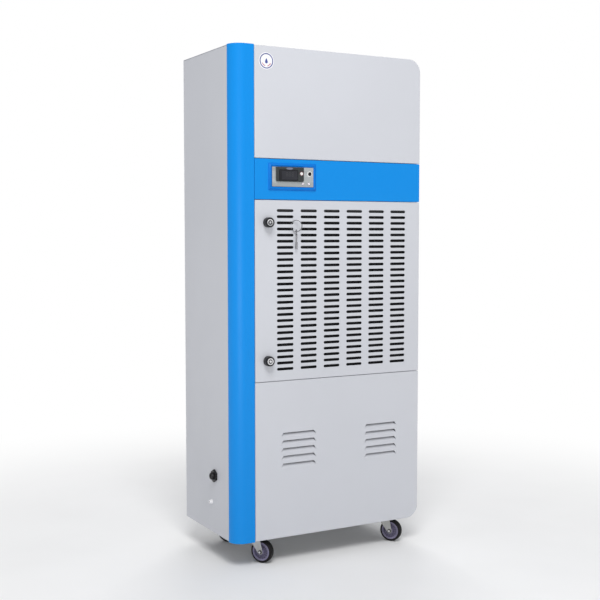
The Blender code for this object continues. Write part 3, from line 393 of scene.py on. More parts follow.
class Finish:
    """A material that is put together from a shader and the patterns that drive its sockets."""

    def __init__(self, name, slot, color, roughness, metallic=0.0, **sockets):
        self.material = bpy.data.materials.new(name)
        self.material["slot"] = slot
        self.material.use_nodes = True
        self.material.diffuse_color = (*color, 1.0)
        self.tree = self.material.node_tree
        self.shader = self.tree.nodes["Principled BSDF"]
        self.set(self.shader, Base_Color=(*color, 1.0), Roughness=roughness, Metallic=metallic, **sockets)
        self.place = self.tree.nodes.new("ShaderNodeTexCoord").outputs["Object"]

    def set(self, node, **sockets):
        for socket, value in sockets.items():
            node.inputs[socket.replace("_", " ")].default_value = value

    def add(self, kind, **sockets):
        node = self.tree.nodes.new("ShaderNode" + kind)
        self.set(node, **sockets)
        return node

    def link(self, source, target):
        self.tree.links.new(source, target)

    def noise(self, scale, detail=2.0, stretch=(1, 1, 1)):
        mapping = self.add("Mapping", Scale=stretch)
        self.link(self.place, mapping.inputs["Vector"])
        node = self.add("TexNoise", Scale=scale, Detail=detail)
        self.link(mapping.outputs["Vector"], node.inputs["Vector"])
        return node.outputs["Fac"]

    def cells(self, scale):
        node = self.add("TexVoronoi", Scale=scale)
        self.link(self.place, node.inputs["Vector"])
        return node.outputs["Color"]

    def waves(self, scale, direction):
        node = self.add("TexWave", Scale=scale, Distortion=0.0)
        node.bands_direction = direction
        self.link(self.place, node.inputs["Vector"])
        return node.outputs["Fac"]

    def greater(self, first, second):
        node = self.add("Math")
        node.operation = "MAXIMUM"
        self.link(first, node.inputs[0])
        self.link(second, node.inputs[1])
        return node.outputs["Value"]

    def color(self, value, first, second, low=0.3, high=0.7):
        """Base colour between two, as the value goes from low to high."""
        ramp = self.add("ValToRGB")
        for element, position, color in zip(ramp.color_ramp.elements, (low, high), (first, second)):
            element.position = position
            element.color = (*color, 1.0)
        self.link(value, ramp.inputs["Fac"])
        self.link(ramp.outputs["Color"], self.shader.inputs["Base Color"])

    def roughness(self, value, first, second):
        spread = self.add("MapRange", From_Min=0.25, From_Max=0.75, To_Min=first, To_Max=second)
        self.link(value, spread.inputs["Value"])
        self.link(spread.outputs["Result"], self.shader.inputs["Roughness"])

    def bump(self, value, distance, strength=1.0):
        node = self.add("Bump", Distance=distance, Strength=strength)
        self.link(value, node.inputs["Height"])
        previous = self.shader.inputs["Normal"].links
        if previous:
            self.link(previous[0].from_socket, node.inputs["Normal"])
        self.link(node.outputs["Normal"], self.shader.inputs["Normal"])


def shade(color, factor):
    return tuple(channel * factor for channel in color)


def powder_coat(name, slot, color, roughness, variation=0.02, specular=0.5):
    """Baked paint: a fine orange-peel skin, faint cloudiness and slightly uneven gloss."""
    finish = Finish(name, slot, color, roughness, Specular_IOR_Level=specular)
    finish.color(finish.noise(2.2, 3.0), shade(color, 1 - variation), shade(color, 1 + variation))
    finish.roughness(finish.noise(14.0, 3.0), roughness - 0.05, roughness + 0.06)
    finish.bump(finish.noise(620.0, 2.0), 0.00006, 0.35)
    return finish.material


def moulded(name, slot, color, roughness, grain=1400.0, specular=0.5):
    """Moulded plastic or rubber: a fine grain in its surface and a faint change of tone."""
    finish = Finish(name, slot, color, roughness, Specular_IOR_Level=specular)
    finish.color(finish.noise(30.0, 3.0), shade(color, 0.88), shade(color, 1.12))
    finish.roughness(finish.noise(90.0, 2.0), roughness - 0.06, roughness + 0.08)
    finish.bump(finish.noise(grain, 2.0), 0.00008, 0.4)
    return finish.material


def galvanised(name, slot, color):
    """Zinc-coated sheet: crystals a few millimetres across, each with its own tone and gloss."""
    finish = Finish(name, slot, color, 0.42, 0.85)
    crystals = finish.cells(130.0)
    grey = finish.add("RGBToBW")
    finish.link(crystals, grey.inputs["Color"])
    finish.color(grey.outputs["Val"], shade(color, 0.90), shade(color, 1.08), 0.15, 0.85)
    finish.roughness(grey.outputs["Val"], 0.34, 0.50)
    finish.bump(finish.noise(260.0, 3.0), 0.00005, 0.3)
    return finish.material


def brushed(name, slot, color, stretch, roughness=0.34, metallic=0.9):
    """Metal with fine lines drawn along one direction."""
    finish = Finish(name, slot, color, roughness, metallic)
    lines = finish.noise(60.0, 4.0, stretch)
    finish.color(lines, shade(color, 0.86), shade(color, 1.10))
    finish.roughness(lines, roughness - 0.08, roughness + 0.12)
    finish.bump(lines, 0.00004, 0.4)
    return finish.material


def polished(name, slot, color, roughness=0.16):
    """Bright plating with hairline scratches and slightly cloudy patches."""
    finish = Finish(name, slot, color, roughness, 1.0)
    finish.color(finish.noise(120.0, 3.0), shade(color, 0.92), shade(color, 1.05))
    finish.roughness(finish.noise(300.0, 4.0), roughness - 0.05, roughness + 0.10)
    finish.bump(finish.noise(900.0, 3.0, (1.0, 1.0, 0.15)), 0.00002, 0.25)
    return finish.material


def copper():
    color = (0.72, 0.32, 0.17)
    finish = Finish("copper", "copper_tube", color, 0.28, 1.0)
    finish.color(finish.noise(25.0, 4.0), (0.42, 0.19, 0.11), (0.78, 0.36, 0.20), 0.25, 0.60)
    finish.roughness(finish.noise(40.0, 3.0), 0.20, 0.45)
    finish.bump(finish.noise(400.0, 2.0), 0.00004, 0.2)
    return finish.material


def woven():
    """Filter cloth: black threads crossing at right angles, seen flat on, with the open gaps between them
    painted near black as painted shade.
    """
    finish = Finish("filter_cloth", "filter_mesh", (0.015, 0.015, 0.016), 0.85, Specular_IOR_Level=0.2)
    threads = finish.greater(finish.waves(170.0, "X"), finish.waves(170.0, "Z"))
    # The darker colour, in the gaps between the threads, is painted shade; the lighter one is the threads'
    # own black.
    finish.color(threads, (0.001, 0.001, 0.001), (0.022, 0.022, 0.024), 0.45, 0.9)
    finish.bump(threads, 0.0003, 0.8)
    return finish.material


GREY_COLOR = (0.560, 0.572, 0.612)
BLUE_COLOR = (0.003, 0.240, 0.690)
GREY = powder_coat("grey_powder_coat", "grey_paint", GREY_COLOR, 0.46, specular=0.35)
BLUE = powder_coat("blue_powder_coat", "blue_paint", BLUE_COLOR, 0.34, specular=0.20)
# The bezel's deeper blue is painted shade: a darker copy of the blue paint that stands in for the shade on
# the bezel's slopes.
SHADED_BLUE = powder_coat("blue_moulding_painted_shade", "blue_paint", (0.002, 0.165, 0.600), 0.34, specular=0.12)
ZINC = galvanised("galvanised_sheet", "zinc_plated_steel", (0.56, 0.57, 0.58))
FORK_ZINC = brushed("zinc_plating", "zinc_plated_steel", (0.50, 0.50, 0.49), (1.0, 1.0, 0.2), 0.42)
PLATE = brushed("brushed_plate", "brushed_plate", (0.46, 0.49, 0.50), (0.05, 1.0, 1.0), metallic=0.45)
BLACK = moulded("black_plastic", "black_plastic", (0.006, 0.006, 0.008), 0.36, specular=0.35)
WHITE = moulded("white_plastic", "white_plastic", (0.78, 0.78, 0.77), 0.36)
SPOUT_WHITE = moulded("spout_plastic", "white_plastic", (0.86, 0.86, 0.88), 0.30)
GLASS = moulded("display_glass", "display_lens", (0.012, 0.012, 0.016), 0.10, 300.0)
LCD = moulded("display_panel", "display_lens", (0.026, 0.027, 0.034), 0.45, specular=0.25)
SEGMENT = moulded("display_segments", "display_lens", (0.052, 0.053, 0.060), 0.45)
LAMP_RING = polished("lamp_ring", "bright_metal", (0.62, 0.58, 0.64), 0.2)
LAMP = moulded("lamp_lens", "lamp_lens", (0.74, 0.70, 0.76), 0.14, 500.0)
CHROME = polished("bright_plating", "bright_metal", (0.78, 0.78, 0.80))
CASE = moulded("controller_plastic", "black_plastic", (0.026, 0.031, 0.032), 0.40)
DARK_RED = moulded("button_ring", "white_plastic", (0.230, 0.045, 0.055), 0.35)
BADGE = moulded("badge", "white_plastic", (0.170, 0.180, 0.240), 0.35)
NUT_STEEL = polished("nut_steel", "bright_metal", (0.13, 0.13, 0.13), 0.35)
KEY_STEEL = polished("key_steel", "bright_metal", (0.24, 0.24, 0.25), 0.22)
ENAMEL = powder_coat("black_enamel", "black_enamel", (0.016, 0.016, 0.018), 0.30, 0.1)
COPPER = copper()
FINS = brushed("aluminium_fins", "aluminium_fins", (0.72, 0.73, 0.75), (1.0, 1.0, 0.05), 0.36)
CLOTH = woven()
RUBBER = moulded("black_rubber", "black_rubber", (0.020, 0.020, 0.021), 0.78, 700.0)
TYRE = moulded("tyre_rubber", "castor_rubber", (0.006, 0.005, 0.006), 0.60, 900.0, 0.25)
HUB = moulded("hub_plastic", "castor_rubber", (0.170, 0.155, 0.240), 0.42)


def sticker_film():
    """White film, faintly mottled."""
    finish = Finish("sticker_film", "white_plastic", (0.80, 0.80, 0.82), 0.30)
    finish.color(finish.noise(60.0), (0.78, 0.78, 0.80), (0.82, 0.82, 0.84))
    return finish.material


STICKER = sticker_film()
STICKER_BLUE = moulded("sticker_blue", "blue_paint", (0.055, 0.075, 0.260), 0.32)
STICKER_RED = moulded("sticker_red", "white_plastic", (0.420, 0.060, 0.120), 0.32)

SLOT_FINISH = {
    "grey_paint": GREY, "blue_paint": BLUE, "zinc_plated_steel": ZINC, "brushed_plate": PLATE,
    "black_plastic": BLACK, "white_plastic": WHITE, "display_lens": GLASS, "lamp_lens": LAMP,
    "bright_metal": CHROME, "black_enamel": ENAMEL, "copper_tube": COPPER, "aluminium_fins": FINS,
    "filter_mesh": CLOTH, "black_rubber": RUBBER, "castor_rubber": TYRE,
}


# ---- camera, light and floor


def make_stage():
    floor_shape = bmesh.new()
    bmesh.ops.create_grid(floor_shape, x_segments=8, y_segments=8, size=60.0)
    floor = add_object("floor", as_mesh("floor", floor_shape))
    floor.location.z = -0.0005
    floor.data.materials.append(floor_paper())

    scene = bpy.context.scene
    scene.view_settings.view_transform = "Standard"
    scene.world = bpy.data.worlds.new("studio")
    scene.world.use_nodes = True
    tree = scene.world.node_tree
    ambient = tree.nodes["Background"]
    ambient.inputs["Color"].default_value = (0.97, 0.98, 1.0, 1.0)
    ambient.inputs["Strength"].default_value = AMBIENT
    backdrop = tree.nodes.new("ShaderNodeBackground")
    backdrop.inputs["Color"].default_value = (1.0, 1.0, 1.0, 1.0)
    path = tree.nodes.new("ShaderNodeLightPath")
    mix = tree.nodes.new("ShaderNodeMixShader")
    tree.links.new(path.outputs["Is Camera Ray"], mix.inputs["Fac"])
    tree.links.new(ambient.outputs["Background"], mix.inputs[1])
    tree.links.new(backdrop.outputs["Background"], mix.inputs[2])
    tree.links.new(mix.outputs["Shader"], tree.nodes["World Output"].inputs["Surface"])

    lamp("key_light", (-1.5, -3.1, 5.0), (2.2, 2.2), 168.0)
    lamp("low_light", (-2.2, -3.6, 0.75), (2.4, 1.2), 29.0)
    lamp("back_light", (1.9, 3.4, 3.4), (2.4, 2.4), 80.0)


def floor_paper():
    """Pale paper near the cabinet that turns to plain white further out."""
    paper = Finish("floor_paper", "grey_paint", (0.6, 0.6, 0.6), 0.9, Specular_IOR_Level=0.1)
    paper.color(paper.noise(3.0), (0.86, 0.86, 0.86), (0.88, 0.88, 0.88))
    tree = paper.tree
    far = tree.nodes.new("ShaderNodeVectorMath")
    far.operation = "LENGTH"
    paper.link(paper.place, far.inputs[0])
    fade = paper.add("MapRange", From_Min=0.7, From_Max=2.4)
    fade.interpolation_type = "SMOOTHSTEP"
    paper.link(far.outputs["Value"], fade.inputs["Value"])
    glow = paper.add("Emission", Strength=1.0)
    mix = tree.nodes.new("ShaderNodeMixShader")
    paper.link(fade.outputs["Result"], mix.inputs["Fac"])
    paper.link(paper.shader.outputs["BSDF"], mix.inputs[1])
    paper.link(glow.outputs["Emission"], mix.inputs[2])
    paper.link(mix.outputs["Shader"], tree.nodes["Material Output"].inputs["Surface"])
    return paper.material


def lamp(name, place, size, power):
    """A soft rectangular lamp that faces the middle of the cabinet."""
    light = bpy.data.lights.new(name, "AREA")
    light.shape = "RECTANGLE"
    light.size, light.size_y = size
    light.energy = power
    obj = add_object(name, light)
    obj.location = place
    aim = Vector((0.0, 0.0, 0.85)) - obj.location
    obj.rotation_euler = aim.to_track_quat("-Z", "Y").to_euler()


def make_camera():
    data = bpy.data.cameras.new("camera")
    data.lens = 63.0
    data.sensor_width = 36.0
    data.shift_x = -0.0034
    data.shift_y = 0.0017
    camera = add_object("camera", data)
    camera.location = ORIGIN + Vector(CAMERA_PLACE)
    camera.rotation_euler = (CAMERA_TILT, 0.0, CAMERA_TURN)
    bpy.context.scene.camera = camera


# ---- fasteners


def screw_head(place, axis, radius, height):
    """A pan head with a cross recess, on a surface that faces up the axis."""
    index = "xyz".index(axis)
    centre = [c for i, c in enumerate(place) if i != index]
    level = place[index]
    profile = (
        (-0.0002, radius), (0.3 * height, radius), (0.8 * height, 0.75 * radius), (height, 0.35 * radius),
    )
    head = turned(raised(level, profile), axis, centre, 20)
    long, short = 0.55 * radius, 0.11 * radius
    for reach in ((long, short), (short, long)):
        low = [c - r for c, r in zip(centre, reach)]
        high = [c + r for c, r in zip(centre, reach)]
        arm = rectangle((*low, *high), steps=1)
        head = minus(head, prism(arm, axis, level + 0.45 * height, level + height + BEYOND))
    return head


def hexagon(centre, axis, low, high, across):
    """A hexagonal nut or bolt head with softened edges."""
    radius = across / math.sqrt(3)
    return slab(lambda inset: circle(centre, radius - inset, 6), axis, low, high, 0.03 * across)


# ---- casing


def panel_sheet(node, radii, fold):
    """A folded front panel of a CAD node's size, with its corners rounded by radii."""
    front = cad(node)[0].y
    return folded(outline_box(node), radii, "y", front, front + fold, 10)


def make_casing():
    make_column()
    fold = cad("upper_front_panel")[1].y
    upper = panel_sheet("upper_front_panel", (BEND, BEND, CORNER_RADIUS, BEND), fold)
    piece("upper_front_panel_sheet", upper, GREY, "upper_front_panel")
    make_left_side()
    make_shell()
    make_rear()
    make_lower_panel(fold)
    make_sticker()


def make_column():
    """The blue corner column: a quarter round into a flat front, with softened ends."""
    low, high = cad("front_column")
    box = outline_box("front_column", "xy")
    wall = 0.0025
    edge = 0.0012
    corner_steps = 24
    radii = (high.y, edge, edge, edge)
    outer = plate(box, radii, "z", low.z, high.z, edge, corner_steps, 3)
    behind = high.y + 0.01
    inner = rectangle(box, radii, wall, corner_steps)
    hollow = [(x, behind if y > high.y - 2 * wall else y) for x, y in inner]
    shape = minus(outer, prism(hollow, "z", low.z + wall, high.z - wall))
    piece("front_column_wall", shape, BLUE, "front_column")


def make_left_side():
    low, high = cad("left_side_panel")
    sheet = folded(outline_box("left_side_panel", "yz"), BEND, "x", low.x, high.x)
    holes = [
        rod("x", centre_of(node, "yz"), radius, -BEYOND, 2 * SHEET)
        for node, radius in (("cable_gland", 0.0104), ("drain_spout", 0.0065))
    ]
    piece("left_side_sheet", minus(sheet, together(holes)), GREY, "left_side_panel")


def make_shell():
    """Top and right side as one bent sheet, with a lip down its back edge."""
    low, high = cad("right_shell")
    bottom = cad("lower_front_panel")[0].z
    lip_depth = 0.016
    lip_left = 0.017

    def path(inset):
        """The sheet seen from the front, from the side's foot over the corner to the top's left end."""
        ring = rectangle(
            (0.0, bottom, high.x, high.z), (0.0, CORNER_RADIUS, CORNER_RADIUS, 0.0), inset, 16,
        )
        foot = (high.x - CORNER_RADIUS - 0.0014, bottom + inset)
        return [foot] + [point for point in ring if point[0] > 0.2] + [(0.0, high.z - inset)]

    strip = prism(path(0.0) + path(SHEET)[::-1], "y", low.y, high.y)
    lip = [(max(x, lip_left), z) for x, z in path(SHEET / 2) + path(lip_depth)[::-1]]
    notch = cad("front_column")[1]
    gap = 0.0006
    reach = 0.01
    left, near, right, far = outlet_box()
    under, over = high.z - reach, high.z + reach
    cuts = [
        block((-reach, -reach, under), (notch.x + gap, notch.y + gap, over)),
        block((left, near, under), (right, far, over)),
    ]
    shape = minus(strip, together(cuts))
    back_lip = prism(lip, "y", high.y - SHEET, high.y)
    piece("right_shell_sheet", together((shape, back_lip)), GREY, "right_shell")


def outlet_box():
    """The clear opening in the top, inside the grille's flange."""
    low, high = cad("outlet_grille")
    return (
        low.x + OUTLET_FLANGE, low.y + OUTLET_FLANGE, high.x - OUTLET_FLANGE, high.y - OUTLET_FLANGE,
    )


def make_rear():
    """The rear panel with two pressed stiffening frames and its screws."""
    low, high = cad("rear_panel")
    radii = (0.002, CORNER_RADIUS, CORNER_RADIUS, 0.002)
    sheet = plate(outline_box("rear_panel"), radii, "y", low.y, high.y, corner_steps=12)
    border = 0.08
    half_gap = 0.05
    depth = 0.0008
    section = (
        (-0.001, -0.001), (0.0, 0.0), (0.002, depth), (0.008, depth), (0.010, 0.0), (0.011, -0.001),
    )
    groove = [(inset, high.y - drop) for inset, drop in section]
    middle = (low.z + high.z) / 2
    for base, top in ((low.z + border, middle - half_gap), (middle + half_gap, high.z - border)):
        field = (low.x + border, base, high.x - border, top)
        sheet = minus(sheet, moulding(field, 0.030, "y", groove, 6))
    piece("rear_panel_sheet", sheet, GREY, "rear_panel")

    heads = []
    for x in (low.x + 0.009, high.x - 0.009):
        heads += [(x, low.z + 0.09 + i * (high.z - low.z - 0.18) / 5) for i in range(6)]
    for z in (low.z + 0.010, high.z - 0.010):
        heads += [(low.x + 0.12 + i * (high.x - low.x - 0.24) / 3, z) for i in range(4)]
    head_height = 0.0016
    screws = [screw_head((x, high.y - head_height, z), "y", 0.0038, head_height) for x, z in heads]
    piece("rear_panel_screws", together(screws), CHROME)


def make_lower_panel(fold):
    """The lower panel with two stacks of flaps lanced inward, open at their tops and ends."""
    sheet = panel_sheet("lower_front_panel", (BEND, CORNER_RADIUS, BEND, BEND), fold)
    openings = []
    flaps = []
    for centre in LOUVRE_CENTRES:
        for row in range(LOUVRE_ROWS):
            top = LOUVRE_TOP - row * LOUVRE_PITCH
            low = top - LOUVRE_HEIGHT
            outline = [
                (centre - LOUVRE_BOTTOM_HALF, low), (centre + LOUVRE_BOTTOM_HALF, low),
                (centre + LOUVRE_TOP_HALF, top), (centre - LOUVRE_TOP_HALF, top),
            ]
            openings.append(prism(outline, "y", -BEYOND, SHEET + BEYOND))
            flaps.append(louvre_flap(centre, low))
    sheet = minus(sheet, together(openings))
    piece("lower_panel_sheet", sheet, GREY, "lower_front_panel")
    piece("lower_panel_louvres", together(flaps), GREY)


def louvre_flap(centre, low):
    """One flap: it bends inward along its bottom edge and keeps the opening's outline."""
    bend = 0.0035
    bend_steps = 4
    wall = SHEET - 0.0001
    length = LOUVRE_HEIGHT - bend * LOUVRE_ANGLE
    stations = [(LOUVRE_ANGLE * i / bend_steps, 0.0) for i in range(bend_steps + 1)]
    stations.append((LOUVRE_ANGLE, length))
    rings = []
    for angle, reach in stations:
        y = bend * (1 - math.cos(angle)) + reach * math.sin(angle)
        z = low - 0.0004 + bend * math.sin(angle) + reach * math.cos(angle)
        run = (bend * angle + reach) / LOUVRE_HEIGHT
        half = LOUVRE_BOTTOM_HALF + (LOUVRE_TOP_HALF - LOUVRE_BOTTOM_HALF) * run - 0.0002
        front = (y + 0.00005, z)
        back = (y + wall * math.cos(angle), z - wall * math.sin(angle))
        rings.append([
            (centre - half, *front), (centre + half, *front), (centre + half, *back), (centre - half, *back),
        ])
    return loft(rings)


def make_sticker():
    """A plain round sticker: white film, a dark ring, a drop of water and two red arcs."""
    x, z = STICKER_CENTRE
    front, back = -0.00018, -0.00005
    film = slab(lambda inset: circle(STICKER_CENTRE, 0.0262 - inset, 56), "y", -0.00012, 0.0, 0.00005)
    piece("sticker_film", film, STICKER)
    ring = sleeve("y", STICKER_CENTRE, 0.0205, 0.0236, front, back, 56)
    drop = []
    drop_steps = 36
    for step in range(drop_steps):
        angle = 2 * math.pi * step / drop_steps
        pinch = math.sin(angle / 2) ** 1.6
        drop.append((x + 0.0068 * math.sin(angle) * pinch, z + 0.0005 + 0.0085 * math.cos(angle)))
    piece("sticker_ring", together((ring, prism(drop, "y", front, back))), STICKER_BLUE)
    inner, outer = 0.0145, 0.0168
    section = ((inner, front), (outer, front), (outer, back), (inner, back))
    arcs = []
    for start in (205, 285):
        angles = [math.radians(start + 50 * step / 12) for step in range(13)]
        arcs.append(loft([
            [(x + reach * math.cos(t), y, z + reach * math.sin(t)) for reach, y in section] for t in angles
        ]))
    piece("sticker_arcs", together(arcs), STICKER_RED)


# ---- control unit


def make_controls():
    band = panel_sheet("control_band", BEND, cad("control_band")[1].y)
    left, base, right, top = BAND_OPENING
    band = minus(band, block((left, -BEYOND, base), (right, 2 * SHEET, top)))
    piece("control_band_sheet", band, BLUE, "control_band")
    front = cad("control_bezel")[0].y
    section = (
        (0.0, 0.0), (0.0, -0.0004), (0.0060, front), (0.0070, front), (0.0118, front + 0.0030), (0.0120, 0.0),
    )
    bezel = moulding(outline_box("control_bezel"), 0.0015, "y", softened(section, 0.0005))
    # Painted shade: the bezel takes the darker copy of the blue, which stands in for the shade on its slopes.
    piece("control_bezel_frame", bezel, SHADED_BLUE, "control_bezel")
    low, high = cad("control_plate")
    sheet = plate(outline_box("control_plate"), 0.001, "y", low.y, high.y, 0.0002, 2)
    piece("control_plate_sheet", sheet, PLATE, "control_plate")
    make_controller(low.y)
    make_buttons(low.y)


def make_controller(plate_front):
    """The controller's housing and badge, and the ring round its button."""
    front = cad("controller_housing")[0].y
    window = outline_box("display_window")
    radii = (0.005, 0.005, 0.0012, 0.0012)
    box = outline_box("controller_housing")
    housing = plate(box, radii, "y", front, plate_front - 0.0002, 0.0008, 5, 3)
    wide, narrow = -0.0016, -0.0003
    recess = (
        (wide, front - 0.001), (wide, front), (narrow, front + 0.0012), (narrow, front + 0.002),
    )
    housing = minus(housing, moulding(window, 0.0012, "y", recess, endless=False))
    centre = centre_of("set_button")
    bore = rod("y", centre, 0.0064, front - 0.001, plate_front)
    piece("controller_case", minus(housing, bore), CASE, "controller_housing")
    ring = raised(front, (
        (0.0002, 0.0054), (-0.0001, 0.0060), (-0.0001, 0.0066), (0.0008, 0.0068), (0.0008, 0.0054),
    ))
    piece("set_button_ring", turned(ring, "y", centre, 36, True, 0.0002), DARK_RED)
    badge_x = (window[0] + window[2]) / 2 + 0.0025
    badge_z = window[3] + 0.0040
    badge = [(badge_x + 0.0122 * x, badge_z + 0.0034 * z) for x, z in circle((0.0, 0.0), 1.0, 28)]
    piece("controller_badge", prism(badge, "y", front - 0.0002, front + 0.0005), BADGE)
    make_display(window, front)


def make_display(window, front):
    """The display's glass, the dull panel on it and three unlit generic digits."""
    glass = plate(window, 0.0010, "y", front + 0.0004, front + 0.0016, 0.0002)
    piece("display_glass", glass, GLASS, "display_window")
    left, base = window[0] + 0.009, window[1] + 0.0040
    lcd = rectangle((left, base, window[2] - 0.0040, window[3] - 0.0032), 0.0008, steps=2)
    piece("display_panel", prism(lcd, "y", front + 0.00025, front + 0.0008), LCD)
    bars = []
    for digit in range(3):
        bars += seven_segments(left + 0.0145 + digit * DIGIT_PITCH, base + 0.0095, front + 0.00015)
    piece("display_segments", together(bars), SEGMENT)


def seven_segments(left, base, level):
    """The seven unlit bars of one digit."""
    bar = 0.0010
    half = DIGIT_HEIGHT / 2
    right = left + DIGIT_WIDTH - bar
    bars = [
        (left + bar, z, right, z + bar)
        for z in (base, base + half - bar / 2, base + DIGIT_HEIGHT - bar)
    ]
    bars += [
        (x, z, x + bar, z + half - 1.6 * bar)
        for x in (left, right) for z in (base + bar * 0.9, base + half + bar * 0.7)
    ]
    return [prism(rectangle(box, 0.0003, steps=1), "y", level, level + 0.0004) for box in bars]


def make_buttons(plate_front):
    """The two push buttons, the power button's collar and the two round lamps."""
    for name, material, radius, dish in (
        ("set_button", WHITE, 0.0050, 0.0005), ("power_button", BLACK, 0.0055, 0.0004),
    ):
        low, high = cad(name)
        cap = raised(low.y, (
            (dish, POINT), (0.0, radius * 0.72), (0.0, radius - 0.0006), (0.0008, radius),
        ))
        cap.append((high.y, radius))
        shape = turned(cap, "y", centre_of(name), 36, soft=0.0005)
        piece(name + "_cap", shape, material, name, name + "_body")
    collar = raised(plate_front, (
        (-0.0012, 0.0061), (-0.0012, 0.0084), (0.0004, 0.0092), (0.0004, 0.0061),
    ))
    shape = turned(collar, "y", centre_of("power_button"), 36, True, 0.0004)
    piece("power_button_collar", shape, WHITE)
    for name in ("power_lamp", "run_lamp"):
        low, high = cad(name)
        centre = centre_of(name)
        dome = [
            (low.y + 0.0016 * (1 - math.cos(t)), max(LAMP_RADIUS * math.sin(t), POINT))
            for t in (math.radians(15 * step) for step in range(7))
        ]
        dome.append((high.y, LAMP_RADIUS))
        piece(name + "_lens", turned(dome, "y", centre, 28), LAMP, name)
        bezel = (
            (low.y + 0.0012, LAMP_RADIUS), (low.y + 0.0008, LAMP_RADIUS + 0.0010),
            (plate_front + 0.0004, LAMP_RADIUS + 0.0016), (plate_front + 0.0004, LAMP_RADIUS),
        )
        piece(name + "_bezel", turned(bezel, "y", centre, 28, True, 0.0003), LAMP_RING)


# ---- door


def make_door():
    sheet = folded(outline_box("service_door"), BEND, "y", 0.0, 0.012)
    cutters = [
        slot_cutter(FIRST_SLOT_X + column * SLOT_COLUMN_PITCH, TOP_SLOT_Z - row * SLOT_ROW_PITCH)
        for column in range(SLOT_COLUMNS) for row in range(SLOT_ROWS)
    ]
    cutters += [rod("y", centre_of(lock + "_barrel"), 0.0099, -BEYOND, 2 * SHEET) for lock in LOCKS]
    piece("door_sheet", minus(sheet, together(cutters)), GREY, "service_door", "door")
    make_filter_channels()
    make_filter()
    for lock in LOCKS:
        make_lock(lock)
    make_keys()
    make_seal()


def slot_cutter(x, z):
    """A round-ended slot whose front edge is rolled inward as a punch leaves it."""
    rings = []
    for outset, level in (
        (SLOT_ROLL, -BEYOND), (SLOT_ROLL, 0.0), (SLOT_ROLL * 0.3, SLOT_ROLL * 0.4), (0.0, SLOT_ROLL),
        (0.0, SHEET + BEYOND),
    ):
        length = SLOT_LENGTH / 2 + outset
        height = SLOT_HEIGHT / 2 + outset
        rings.append(along(rectangle((x - length, z - height, x + length, z + height), height), "y", level))
    return loft(rings)


def make_filter_channels():
    """A shallow channel under the filter, a deep one over it and a web down each side, in black enamel that
    is painted shade behind the door's slots.
    """
    low, high = cad("air_filter")
    wall = 0.001
    lift = 0.010
    left, right = low.x - 0.0008, high.x + 0.0008
    base, top = low.z - 0.0004, high.z + lift + 0.0015
    flange, lip = low.y - 0.0004, high.y + 0.0004

    def channel(web, outer, edge):
        section = [
            (SHEET, web), (SHEET, outer), (lip + wall, outer), (lip + wall, edge), (lip, edge),
            (lip, web), (flange, web), (flange, edge), (flange - wall, edge), (flange - wall, web),
        ]
        return prism(section, "x", left - wall, right + wall)

    shapes = [channel(base, base - wall, base + 0.007), channel(top, top + wall, high.z - lift)]
    for edge in (left - wall, right):
        shapes.append(block((edge, SHEET, base - wall), (edge + wall, lip, top + wall), 0.0002))
    # Black enamel on the channels is painted shade: it stands in for the dark seen through the door's slots.
    piece("filter_channels", together(shapes), ENAMEL, body="door")


def make_filter():
    """The filter's moulded frame with cross bars and a pull, and its cloth between them."""
    low, high = cad("air_filter")
    border = 0.012
    section = ((0.0, low.y), (0.0, high.y), (border, high.y), (border, low.y))
    rim = softened(section, 0.0010, closed=True, steps=2)
    bars = [moulding(outline_box("air_filter"), 0.003, "y", rim)]
    half = 0.0025
    overlap = 0.004
    for share in (1 / 4, 2 / 4, 3 / 4):
        x = low.x + (high.x - low.x) * share
        z = low.z + (high.z - low.z) * share
        bars += [
            block(
                (x - half, low.y + 0.002, low.z + overlap), (x + half, high.y - 0.002, high.z - overlap),
            ),
            block(
                (low.x + overlap, low.y + 0.003, z - half), (high.x - overlap, high.y - 0.003, z + half),
            ),
        ]
    left, right = low.x + 0.22, low.x + 0.29
    root, bow = high.y - 0.004, high.y - 0.0015
    level = high.z - 0.030
    pull = ((left, root, level), (left, bow, level), (right, bow, level), (right, root, level))
    bars.append(tube(rounded_route(pull, 0.001, 2), 0.0012, 8))
    piece("air_filter_frame", together(bars), BLACK, "air_filter", "filter")
    inner = border - 0.002
    box = (low.x + inner, low.z + inner, high.x - inner, high.z - inner)
    middle = (low.y + high.y) / 2
    cloth = plate(box, 0.0, "y", middle - 0.001, middle + 0.001, 0.0003, 1)
    piece("air_filter_cloth", cloth, CLOTH, body="filter")


